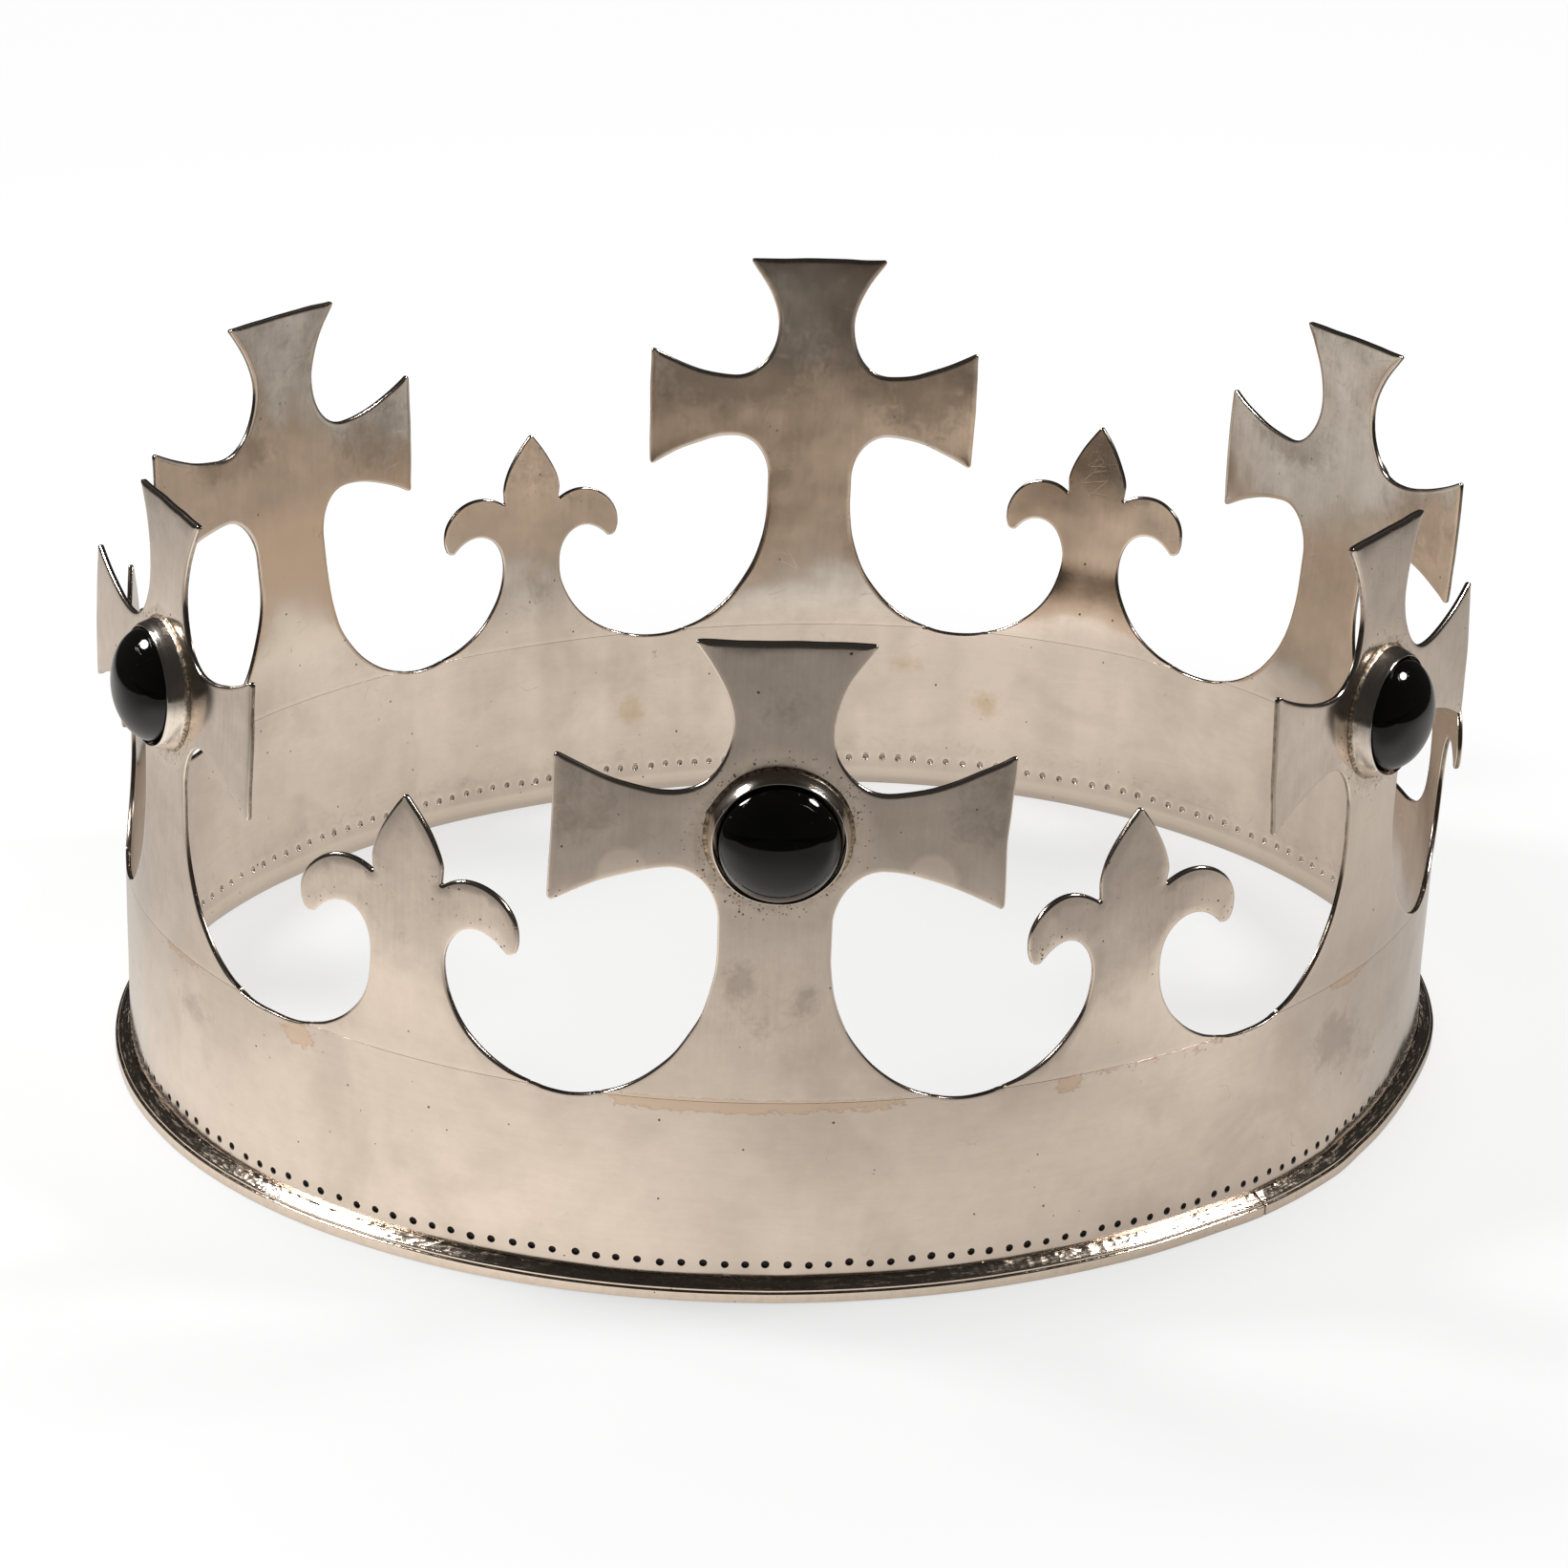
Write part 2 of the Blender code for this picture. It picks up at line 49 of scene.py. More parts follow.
# ---------------------------------------------------------------- the CAD's dimensions
SHEET = 0.8
WALL_R, OVAL, OVAL_AZ, TRI, TRI_AZ, SAG = 95.2, 5.9, -65.2, 0.8, 30.7, -0.00017
SEAM_Z = 29.6
HOLES, HOLE_Z, HOLE_R = 204, 4.7, 0.46
RIM_OUT, RIM_H = 2.3, 2.85
CROSS_AZ = (-1.0, 60.6, 120.9, 178.9, 241.6, 299.6)
CROSS_LEAN = (4.0, -0.5, 2.2, 2.6, 2.1, -0.95)
CROSS_TWIST = (-0.7, 0.1, 1.5, -0.9, -0.3, -1.35)
FLEUR_AZ = (29.8, 90.7, 148.8, 211.1, 270.6, 329.4)
PLATE_Z, PLATE_R, PLATE_BULGE, PETAL_FLAT_Z = 62.0, 490.0, 0.5, 49.6
CROSS_SHIFT = (-0.5, 1.3, 0.7, 0.7, -0.7, -1.6)
CROSS_TILT = (0.55, -0.95, -0.3, -0.65, 1.1, 1.7)
CROSS_TALL = (0.998, 1.002, 1.005, 1.002, 1.005, 0.994)
FLEUR_SHIFT = (-0.5, 0.0, 1.4, -0.1, 0.0, -0.1)
FLEUR_TILT = (-1.5, 0.0, 0.2, -0.6, 0.0, 0.0)
FLEUR_TALL = (1.021, 1.02, 1.03, 0.992, 1.04, 1.008)
FLEUR_LEAN = (3.2, 0.0, 4.0, 0.8, 1.0, 0.6)
FLEUR_TWIST = (0.0, 4.5, 0.0, 0.0, 8.0, 0.0)
ARC_BOTTOM_Z = 28.9
CROSS_ARC_S, CROSS_ARC_Z, CROSS_STEM = 26.6, 51.6, 7.25
FLEUR_ARC_S, FLEUR_ARC_Z, FLEUR_STEM = 22.8, 44.3, 5.25
CROSS_TOP, CROSS_TOP_HALF, CROSS_NECK, NECK_Z = 94.8, 11.05, 6.3, 83.5
ARM_HALF, ARM_LOW, ARM_HIGH, ARM_IN_LOW, ARM_IN_HIGH = 28.45, 58.8, 79.3, 63.7, 74.4
CROTCH_S, HIP_Z = 13.45, 55.7
FLEUR_TOP, PETAL_HALF, PETAL_Z = 67.5, 5.25, 57.7
LOBE_S, LOBE_Z, LOBE_A, LOBE_B, LOBE_IN = 9.4, 50.5, 6.9, 6.5, 50.3
HOOK_S, HOOK_Z = 14.5, 47.8
STONE_Z = 68.6
BOX = Vector((0.362, -0.786, 0.0))
FOOT_Z = SEAM_Z + 0.012  # the finials' feet all but touch the hoop
PER_DEG = math.radians(1.0) * WALL_R  # arc length of a degree, for texture places


def at(p):
    """From millimetres about the hoop's axis to the frame's metres."""
    return (p - BOX) * MM


# ---------------------------------------------------------------- the wall, as in the CAD
def smooth(t):
    t = min(1.0, max(0.0, t))
    return t * t * (3.0 - 2.0 * t)


def lean(az):
    az = (az - CROSS_AZ[0]) % 360.0 + CROSS_AZ[0]
    stops = list(CROSS_AZ) + [CROSS_AZ[0] + 360.0]
    for k in range(6):
        if az <= stops[k + 1]:
            t = smooth((az - stops[k]) / (stops[k + 1] - stops[k]))
            a, b = CROSS_LEAN[k], CROSS_LEAN[(k + 1) % 6]
            return math.tan(math.radians(a + (b - a) * t))
    return math.tan(math.radians(CROSS_LEAN[0]))


def foot_r(az):
    return (
        WALL_R
        + OVAL * math.cos(2.0 * math.radians(az - OVAL_AZ))
        + TRI * math.cos(3.0 * math.radians(az - TRI_AZ))
    )


def slope(az):
    return -2.0 * OVAL * math.sin(2.0 * math.radians(az - OVAL_AZ)) - 3.0 * TRI * math.sin(
        3.0 * math.radians(az - TRI_AZ)
    )


def facing(az):
    return az - math.degrees(math.atan2(slope(az), foot_r(az)))


def outward(az):
    a = math.radians(az)
    return Vector((math.sin(a), -math.cos(a), 0.0))


def along(az):
    a = math.radians(az)
    return Vector((math.cos(a), math.sin(a), 0.0))


def on_wall(az, z, out=0.0):
    push = lean(az) * z + SAG * z * z + out
    return outward(az) * foot_r(az) + outward(facing(az)) * push + Vector((0.0, 0.0, z))


def turned(az, s):
    half = az + math.degrees(0.5 * s / math.hypot(foot_r(az), slope(az)))
    return az + math.degrees(s / math.hypot(foot_r(half), slope(half)))


def hand_cut(s, z, shift, tilt, tall):
    t = math.sin(math.radians(tilt)) * smooth((z - SEAM_Z) / 20.0)
    up = z - SEAM_Z
    return s + shift + up * t, SEAM_Z + up * tall - s * t


def on_plate(az, twist, flat_z, s, z, out):
    twisted = facing(az) + twist
    flat = on_wall(az, z) + along(twisted) * s + outward(twisted) * out
    return on_wall(turned(az, s), z, out).lerp(flat, smooth((z - SEAM_Z) / (flat_z - SEAM_Z)))


# where a finial was cut a little fuller or leaner: middle, spread, shift (mm)
CROSS_CUT = (
    (
        (28.5, 79.3, 10.0, 8.0, 0.95, 0.9),
        (28.3, 58.8, 10.0, 7.0, 0.8, -0.6),
        (-28.3, 58.8, 10.0, 7.0, -0.75, -0.65),
        (-11.0, 94.8, 5.0, 8.0, -0.55, 0.0),
        (11.0, 94.8, 5.0, 8.0, 0.5, 0.0),
    ),
    ((28.5, 69.0, 8.0, 12.0, 1.0, 0.0),),
    (
        (0.0, 90.0, 16.0, 13.0, 0.9, 0.0),
        (11.0, 94.8, 5.0, 9.0, 0.6, 0.0),
        (-11.0, 94.8, 5.0, 9.0, -0.9, 0.0),
        (0.0, 50.0, 10.0, 11.0, 0.9, 0.0),
    ),
    (
        (11.0, 94.8, 5.0, 9.0, 0.85, 0.0),
        (-11.0, 94.8, 5.0, 9.0, -1.05, 0.0),
        (-6.3, 84.0, 4.0, 7.0, -0.35, 0.0),
        (28.5, 69.0, 6.0, 14.0, -0.4, 0.0),
        (-28.5, 69.0, 6.0, 14.0, 0.3, 0.0),
        (28.3, 58.8, 10.0, 6.0, 0.0, -0.5),
        (-28.3, 58.8, 10.0, 6.0, 0.0, -0.5),
    ),
    (
        (0.0, 90.0, 16.0, 13.0, -0.8, 0.0),
        (-11.0, 94.8, 5.0, 8.0, -0.9, 0.0),
        (11.0, 94.8, 5.0, 8.0, 0.4, 0.0),
        (0.0, 50.0, 10.0, 11.0, -1.0, 0.0),
        (-7.0, 50.0, 4.0, 9.0, -0.5, 0.0),
    ),
    ((-28.5, 69.0, 8.0, 12.0, -1.0, 0.0), (16.5, 56.5, 7.0, 5.0, -0.2, -1.6)),
)
FLEUR_CUT = (
    ((-15.0, 49.0, 5.0, 7.0, 0.85, 0.0), (-5.2, 56.0, 3.0, 3.5, 0.0, -0.6)),
    (),
    (),
    (),
    (),
    ((-5.3, 44.0, 4.0, 6.0, -0.75, 0.0),),
)


def by_hand(cuts, s, z):
    ds, dz = 0.0, 0.0
    for cs, cz, rs, rz, shift, rise in cuts:
        w = math.exp(-(((s - cs) / rs) ** 2) - ((z - cz) / rz) ** 2)
        ds, dz = ds + w * shift, dz + w * rise
    w = smooth((z - SEAM_Z) / 8.0)
    return s + w * ds, z + w * dz


def swell(az, z):
    """The hoop's foot, out of true at the right and left."""
    a = (az + 180.0) % 360.0 - 180.0
    right = 0.85 * smooth((a - 76.0) / 14.0) * (1.0 - smooth((a - 112.0) / 25.0))
    right += 0.5 * smooth((a - 40.0) / 7.0) * (1.0 - smooth((a - 56.5) / 6.0))
    right -= 0.45 * math.exp(-(((a - 71.0) / 8.0) ** 2))
    left = -0.9 * smooth((-a - 89.0) / 10.0) * (1.0 - smooth((-a - 116.0) / 25.0))
    return (right + left) * (1.0 - smooth(z / 14.0))


def dent(az, z):
    """Slight unevenness of the hammered sheet, in millimetres."""
    a = math.radians(az)
    p = Vector((WALL_R * math.sin(a), -WALL_R * math.cos(a), z))
    return 0.10 * noise.noise(p / 21.0) + 0.035 * noise.noise(p / 8.0 + Vector((9.0, 3.0, 5.0)))


def wall(az, z, out=0.0):
    return on_wall(az, z, out + dent(az, z) + swell(az, z))


def wobble(k, s, z):
    """The saw's wandering, nothing at the foot where the finial meets the hoop."""
    amount = 0.16 * smooth((z - SEAM_Z - 1.5) / 5.0)
    ds = amount * noise.noise(Vector((s / 5.0, z / 5.0, 10.3 + 3.0 * k)))
    dz = amount * noise.noise(Vector((s / 5.0, z / 5.0, 60.7 + 3.0 * k)))
    return s + ds, z + dz


def on_fleur(k, s, z, out=0.0):
    s, z = wobble(k + 20, *by_hand(FLEUR_CUT[k], s, z))
    s, z = hand_cut(s, z, FLEUR_SHIFT[k], FLEUR_TILT[k], FLEUR_TALL[k])
    up = max(0.0, z - SEAM_Z)
    push = math.tan(math.radians(FLEUR_LEAN[k])) * up * smooth(up / 15.0)
    out += dent(FLEUR_AZ[k] + s / PER_DEG, z)
    return on_plate(FLEUR_AZ[k], FLEUR_TWIST[k], PETAL_FLAT_Z, s, z, out) + outward(facing(FLEUR_AZ[k])) * push


def on_cross(k, s, z, out=0.0):
    s, z = wobble(k, *by_hand(CROSS_CUT[k], s, z))
    s, z = hand_cut(s, z, CROSS_SHIFT[k], CROSS_TILT[k], CROSS_TALL[k])
    push = (PLATE_BULGE - s * s / (2.0 * PLATE_R)) * smooth((z - SEAM_Z) / (PLATE_Z - SEAM_Z))
    push += dent(CROSS_AZ[k] + s / PER_DEG, z)
    return on_plate(CROSS_AZ[k], CROSS_TWIST[k], PLATE_Z, s, z, out + push)


# ---------------------------------------------------------------- outlines, finer than the CAD's
def foot_points(arc_s, arc_z, stem, low, steps):
    start = math.acos((arc_z - low) / (arc_z - ARC_BOTTOM_Z))
    points = []
    for i in range(steps + 1):
        t = start + (math.pi / 2 - start) * i / steps
        points.append(
            (arc_s - (arc_s - stem) * math.sin(t), arc_z - (arc_z - ARC_BOTTOM_Z) * math.cos(t))
        )
    return points


def cross_half():
    tip = foot_points(CROSS_ARC_S, CROSS_ARC_Z, CROSS_STEM, FOOT_Z + 0.1, 40)
    p = [(tip[0][0], FOOT_Z)] + tip
    for i in range(1, 15):
        t = math.radians(90.0 * i / 14)
        p.append(
            (
                CROTCH_S - (CROTCH_S - CROSS_STEM) * math.cos(t),
                HIP_Z + (ARM_IN_LOW - HIP_Z) * math.sin(t),
            )
        )
    for i in range(1, 19):
        t = i / 18
        p.append((CROTCH_S + (ARM_HALF - 0.15 - CROTCH_S) * t, ARM_IN_LOW + (ARM_LOW - ARM_IN_LOW) * t**1.7))
    for i in range(1, 20):
        t = i / 20
        bow = 0.25 * math.sin(math.pi * t)
        p.append((ARM_HALF - 0.15 + 0.25 * t + bow, ARM_LOW + (ARM_HIGH - ARM_LOW) * t))
    for i in range(18, -1, -1):
        t = i / 18
        p.append((CROTCH_S + (ARM_HALF + 0.1 - CROTCH_S) * t, ARM_IN_HIGH + (ARM_HIGH - ARM_IN_HIGH) * t**1.8))
    for i in range(1, 15):
        t = math.radians(90.0 * i / 14)
        p.append(
            (
                CROTCH_S - (CROTCH_S - CROSS_NECK) * math.sin(t),
                NECK_Z - (NECK_Z - ARM_IN_HIGH) * math.cos(t),
            )
        )
    for i in range(1, 17):
        t = i / 16
        p.append((CROSS_NECK + (CROSS_TOP_HALF - CROSS_NECK) * t**1.8, NECK_Z + (CROSS_TOP - NECK_Z) * t))
    for i in range(1, 13):
        p.append((CROSS_TOP_HALF * (1.0 - i / 13), CROSS_TOP + 0.12 * math.sin(math.pi * i / 26)))
    return p


def fleur_half():
    tip = foot_points(FLEUR_ARC_S, FLEUR_ARC_Z, FLEUR_STEM, FOOT_Z + 0.1, 30)
    p = [(tip[0][0], FOOT_Z)] + tip
    crest = 10.0
    for i in range(1, 13):
        t = math.radians(90.0 * i / 12)
        p.append(
            (
                crest - (crest - FLEUR_STEM) * math.cos(t),
                FLEUR_ARC_Z + (LOBE_IN - FLEUR_ARC_Z) * math.sin(t),
            )
        )
    for i in range(1, 9):
        t = i / 8
        p.append((crest + (HOOK_S - crest) * t, LOBE_IN + (HOOK_Z - LOBE_IN) * t**2))
    p.append((HOOK_S + 0.75, HOOK_Z + 0.02))
    p.append((HOOK_S + 1.3, HOOK_Z + 0.4))
    p.append((LOBE_S + LOBE_A - 0.2, HOOK_Z + 1.1))
    p.append((LOBE_S + LOBE_A - 0.02, HOOK_Z + 1.9))
    notch = math.pi - math.acos((LOBE_S - PETAL_HALF + 0.2) / LOBE_A)
    for i in range(25):
        t = notch * i / 24
        p.append((LOBE_S + LOBE_A * math.cos(t), LOBE_Z + LOBE_B * math.sin(t)))
    for i in range(24):
        t = i / 24
        p.append((PETAL_HALF * (1.0 - t**1.6), PETAL_Z + (FLEUR_TOP - PETAL_Z) * t))
    return p


def whole(half, tip):
    """Both halves of an outline, with points along the foot so that it can bend."""
    foot, steps = half[0][0], 36
    seam = [(-foot + 2.0 * foot * i / steps, FOOT_Z) for i in range(1, steps)]
    return half + tip + [(-s, z) for s, z in reversed(half)] + seam


def round_corners(loop, radius):
    """Corners of a closed outline, filed round; inner corners less, the soldered foot not at all."""
    points = [Vector(p) for p in loop]
    n = len(points)
    gone, bends = set(), {}
    for i, b in enumerate(points):
        u, v = b - points[i - 1], points[(i + 1) % n] - b
        turn = math.atan2(u.x * v.y - u.y * v.x, u.dot(v))
        if abs(turn) < math.radians(28.0) or b.y < FOOT_Z + 0.3:
            continue
        ends = []
        for step in (-1, 1):
            left = min(1.1, (radius if turn > 0 else 0.35 * radius) * math.tan(abs(turn) / 2.0))
            j = i
            while True:
                k = (j + step) % n
                far = (points[k] - points[j]).length
                if far > left:
                    ends.append(points[j].lerp(points[k], left / far))
                    break
                left -= far
                gone.add(k)
                j = k
        bends[i] = ends
    out = []
    for i, b in enumerate(points):
        if i in bends:
            p, q = bends[i]
            for j in range(7):
                t = j / 6
                w = p * (1 - t) ** 2 + b * 2 * t * (1 - t) + q * t * t
                out.append((w.x, w.y))
        elif i not in gone:
            out.append((b.x, b.y))
    return out


def in_loop(points, loop):
    x, y = points[:, 0][:, None], points[:, 1][:, None]
    x1, y1 = loop[:, 0][None], loop[:, 1][None]
    x2, y2 = np.roll(loop[:, 0], -1)[None], np.roll(loop[:, 1], -1)[None]
    with np.errstate(divide="ignore", invalid="ignore"):
        hit = ((y1 > y) != (y2 > y)) & (x < x1 + (x2 - x1) * (y - y1) / (y2 - y1))
    return hit.sum(1) % 2 == 1


def to_loop(points, loop):
    """Distance of each point from a closed outline."""
    a, b = loop[None], np.roll(loop, -1, 0)[None]
    d = b - a
    t = np.clip(((points[:, None] - a) * d).sum(2) / np.maximum((d * d).sum(2), 1e-12), 0.0, 1.0)
    return np.sqrt((((a + t[..., None] * d) - points[:, None]) ** 2).sum(2)).min(1)


class Plate:
    """A flat sawn outline ready to be bent: rings inside its edge and a filled middle."""

    def __init__(self, loop, grid):
        p = np.array(loop, float)
        n = len(p)
        ahead, behind = np.roll(p, -1, 0) - p, p - np.roll(p, 1, 0)
        ahead /= np.linalg.norm(ahead, axis=1)[:, None]
        behind /= np.linalg.norm(behind, axis=1)[:, None]
        n1 = np.stack([-behind[:, 1], behind[:, 0]], 1)
        n2 = np.stack([-ahead[:, 1], ahead[:, 0]], 1)
        m = n1 + n2
        m /= np.linalg.norm(m, axis=1)[:, None]
        self.inward = m / np.maximum((m * n1).sum(1), 0.5)[:, None]
        self.loop = p
        # how far the edge can be set in at each point before the sheet gets too narrow
        room = np.full(n, 0.02)
        free = np.ones(n, bool)
        for d in np.concatenate([np.arange(0.03, 0.3, 0.03), np.arange(0.3, 4.0, 0.1)]):
            free &= to_loop(p + self.inward * d, p) > 0.93 * d
            room[free] = d
        for _ in range(4):
            room = np.minimum(room, 0.5 * (np.roll(room, 1) + np.roll(room, -1)) + 0.15)
        self.room = room
        reach = 0.85
        while True:
            self.support = np.minimum(reach, 0.8 * room)
            ring = p + self.inward * self.support[:, None]
            low, high = p.min(0), p.max(0)
            rows = []
            for j in range(int((high[1] - low[1]) / (grid * 0.87)) + 2):
                y = low[1] + j * grid * 0.87
                for i in range(int((high[0] - low[0]) / grid) + 2):
                    rows.append((low[0] + (i + 0.5 * (j % 2)) * grid, y))
            rows = np.array(rows)
            rows = rows[in_loop(rows, ring)]
            rows = rows[to_loop(rows, ring) > 0.5 * grid]
            points = np.concatenate([ring, rows])
            made = delaunay_2d_cdt(
                [Vector(v) for v in points], [(i, (i + 1) % n) for i in range(n)], [], 0, 1e-6
            )
            if len(made[0]) == len(points) or reach < 0.1:
                break
            reach *= 0.7
        flat = np.array([tuple(v) for v in made[0]])
        faces = np.array([f for f in made[2] if len(f) == 3])
        self.faces = [tuple(int(i) for i in f) for f in faces[in_loop(flat[faces].mean(1), ring)]]
        self.faces = [tuple(made[3][i][0] for i in f) for f in self.faces]
        self.middle = rows
        self.middle_edge = to_loop(rows, p)

    def mesh(self, name, place, rho_front, rho_back, marks):
        """place(s, z, out) bends a flat point; rho are the filed edges' radii per point."""
        n = len(self.loop)
        verts, faces, edge, flat, cut = [], [], [], [], []

        def ring(inset, out, sawn):
            first = len(verts)
            for i in range(n):
                s, z = self.loop[i] + self.inward[i] * inset[i]
                verts.append(at(place(s, z, out[i])))
                edge.append(min(inset[i], 4.0))
                flat.append((s, z, out[i]))
                cut.append(sawn)
            return first

        rf = np.minimum(rho_front, 0.5 * self.room)
        rb = np.minimum(rho_back, 0.5 * self.room)
        rings = [ring(self.support, np.full(n, -SHEET), 0.0)]
        for c, d, sawn in ((1.0, 0.0, 0.0), (0.5, 0.134, 0.4), (0.134, 0.5, 0.9), (0.0, 1.0, 1.0)):
            rings.append(ring(rb * c, -SHEET + rb * d, sawn))
        # polishing has drawn the face down at its edge, but not at the soldered foot
        high = np.clip((self.loop[:, 1] - FOOT_Z - 0.3) / 2.5, 0.0, 1.0)
        worn = np.minimum(0.05, 0.07 * self.room) * high
        for c, d, sawn in ((0.0, 1.0, 0.8), (0.134, 0.5, 0.5), (0.5, 0.134, 0.2), (1.0, 0.0, 0.0)):
            rings.append(ring(rf * c, -rf * d - worn, sawn))
        rings.append(ring(0.55 * self.support + 0.45 * rf, -0.4 * worn, 0.0))
        rings.append(ring(self.support, -0.1 * worn, 0.0))
        sharp = set()
        for a, b in zip(rings, rings[1:]):
            for i in range(n):
                j = (i + 1) % n
                faces.append((a + i, a + j, b + j, b + i))
                if high[i] == 0.0 and high[j] == 0.0 and b in (rings[1], rings[8]):
                    sharp.add((min(b + i, b + j), max(b + i, b + j)))
        for first, out, flip in ((rings[-1], 0.0, False), (rings[0], -SHEET, True)):
            mid = len(verts)
            for (s, z), e in zip(self.middle, self.middle_edge):
                verts.append(at(place(s, z, out)))
                edge.append(min(e, 4.0))
                flat.append((s, z, out))
                cut.append(0.0)
            for f in self.faces:
                f = tuple(first + i if i < n else mid + i - n for i in f)
                faces.append(f[::-1] if flip else f)
        rows = [marks(*v) for v in flat]
        return make_mesh(
            name, verts, faces, rows, edge, sharp, cut=cut, pale=[r[2] for r in rows], dim=[r[3] for r in rows]
        )


ROUND = 360.0 * PER_DEG
INSIDE = 500.0  # third texture coordinate of the inner faces


def make_mesh(name, verts, faces, rows, edge, sharp=(), **more):
    """A smooth mesh with its texture places, marks and edge distance.

    The places are the unrolled sheet and a spot on the ring, which has no end. They are
    kept per face corner, so that no face spans the jump at the back of the hoop or the
    one between the sheet's outer and inner side.
    """
    mesh = bpy.data.meshes.new(name)
    mesh.from_pydata([tuple(v) for v in verts], [], faces)
    marks = mesh.attributes.new("marks", "FLOAT_VECTOR", "POINT")
    marks.data.foreach_set("vector", [c for row in rows for c in row[1]])
    lit = mesh.attributes.new("edge", "FLOAT", "POINT")
    lit.data.foreach_set("value", edge)
    for key, values in more.items():
        mesh.attributes.new(key, "FLOAT", "POINT").data.foreach_set("value", values)
    mesh.shade_smooth()
    mesh.validate()
    mesh.update()
    corner = np.empty(len(mesh.loops), np.int32)
    mesh.loops.foreach_get("vertex_index", corner)
    start, total = np.empty(len(mesh.polygons), np.int32), np.empty(len(mesh.polygons), np.int32)
    mesh.polygons.foreach_get("loop_start", start)
    mesh.polygons.foreach_get("loop_total", total)
    place = np.array([row[0] for row in rows], float)[corner]
    first = np.repeat(place[start, 0], total)
    place[:, 0] += ROUND * np.round((first - place[:, 0]) / ROUND)
    if place[:, 2].max() >= INSIDE:
        place[:, 2] = np.repeat(np.minimum.reduceat(place[:, 2], start), total)
    sheet = mesh.attributes.new("sheet", "FLOAT_VECTOR", "CORNER")
    sheet.data.foreach_set("vector", place.ravel().astype(np.float32))
    turn = place[:, 0] / WALL_R
    ring = np.stack([WALL_R * np.sin(turn) + place[:, 2], -WALL_R * np.cos(turn), place[:, 1]], 1)
    spot = mesh.attributes.new("spot", "FLOAT_VECTOR", "CORNER")
    spot.data.foreach_set("vector", ring.ravel().astype(np.float32))
    if sharp:
        flags = [(min(e.vertices), max(e.vertices)) in sharp for e in mesh.edges]
        mesh.attributes.new("sharp_edge", "BOOLEAN", "EDGE").data.foreach_set("value", flags)
    return mesh


def piece(name, mesh, mat, node):
    mesh.materials.append(mat)
    obj = bpy.data.objects.new(name, mesh)
    bpy.context.scene.collection.objects.link(obj)
    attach(obj, "root")
    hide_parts(node)
    return obj


# ---------------------------------------------------------------- marks of use, by place
def blob(u, z, cu, cz, ru, rz):
    return math.exp(-(((u - cu) / ru) ** 2) - ((z - cz) / rz) ** 2)


def around(az):
    return (az + 180.0) % 360.0 - 180.0


def seam_stain(az, z):
    """How strongly the solder's brown stain shows at a place by the seam."""
    az = around(az)
    low = SEAM_Z - z
    near = math.exp(-((low / 1.7) ** 2)) if low > 0 else math.exp(-((low / 0.5) ** 2))
    run = 0.12
    run += 0.95 * smooth((az + 14.5) / 2.0) * smooth((13.0 - az) / 6.0) * (1.0 - 0.3 * smooth((az + 4.0) / 10.0))
    run += 0.3 * smooth((az - 22.5) / 3.0) * smooth((44.0 - az) / 3.0)
    run += 0.7 * blob(az, 0, 59.0, 0, 3.5, 1)
    run += 0.5 * blob(az, 0, -58.0, 0, 4.5, 1)
    extra = 1.1 * blob(az, z, -42.0, 27.4, 1.7, 1.5) + 0.7 * blob(az, z, 24.5, 28.2, 1.3, 1.2)
    return min(1.0, near * run + extra)


def hoop_marks(az, z, inner):
    a = around(az)
    if inner:
        grey = 0.35 * blob(a, z, 178.0, 26.0, 9.0, 3.0)
        # a grey band just above the holes on the inner side: painted shade
        grey += 0.3 * smooth((z - 5.0) / 1.5) * smooth((12.0 - z) / 5.0)
        warm = (
            0.9 * blob(az % 360, z, 199.0, 15.5, 2.2, 3.0)
            + 0.7 * blob(az % 360, z, 168.0, 23.0, 3.0, 2.4)
            + 0.9 * blob(az % 360, z, 159.5, 16.0, 2.2, 2.8)
            + 0.4 * blob(az % 360, z, 146.0, 20.0, 3.0, 3.0)
            + 0.4 * blob(az % 360, z, 217.0, 19.0, 3.5, 3.0)
        )
        return (0.35 * seam_stain(az, z), grey, 0.0), warm
    grey = 0.9 * blob(a, z, 57.0, 20.5, 3.6, 5.0) + 0.75 * blob(a, z, -56.0, 22.5, 3.0, 2.6)
    grey += 0.35 * blob(a, z, 64.0, 14.0, 5.0, 8.0) + 0.3 * blob(a, z, -70.0, 16.0, 5.0, 8.0)
    return (seam_stain(az, z), grey, 0.0), 0.0


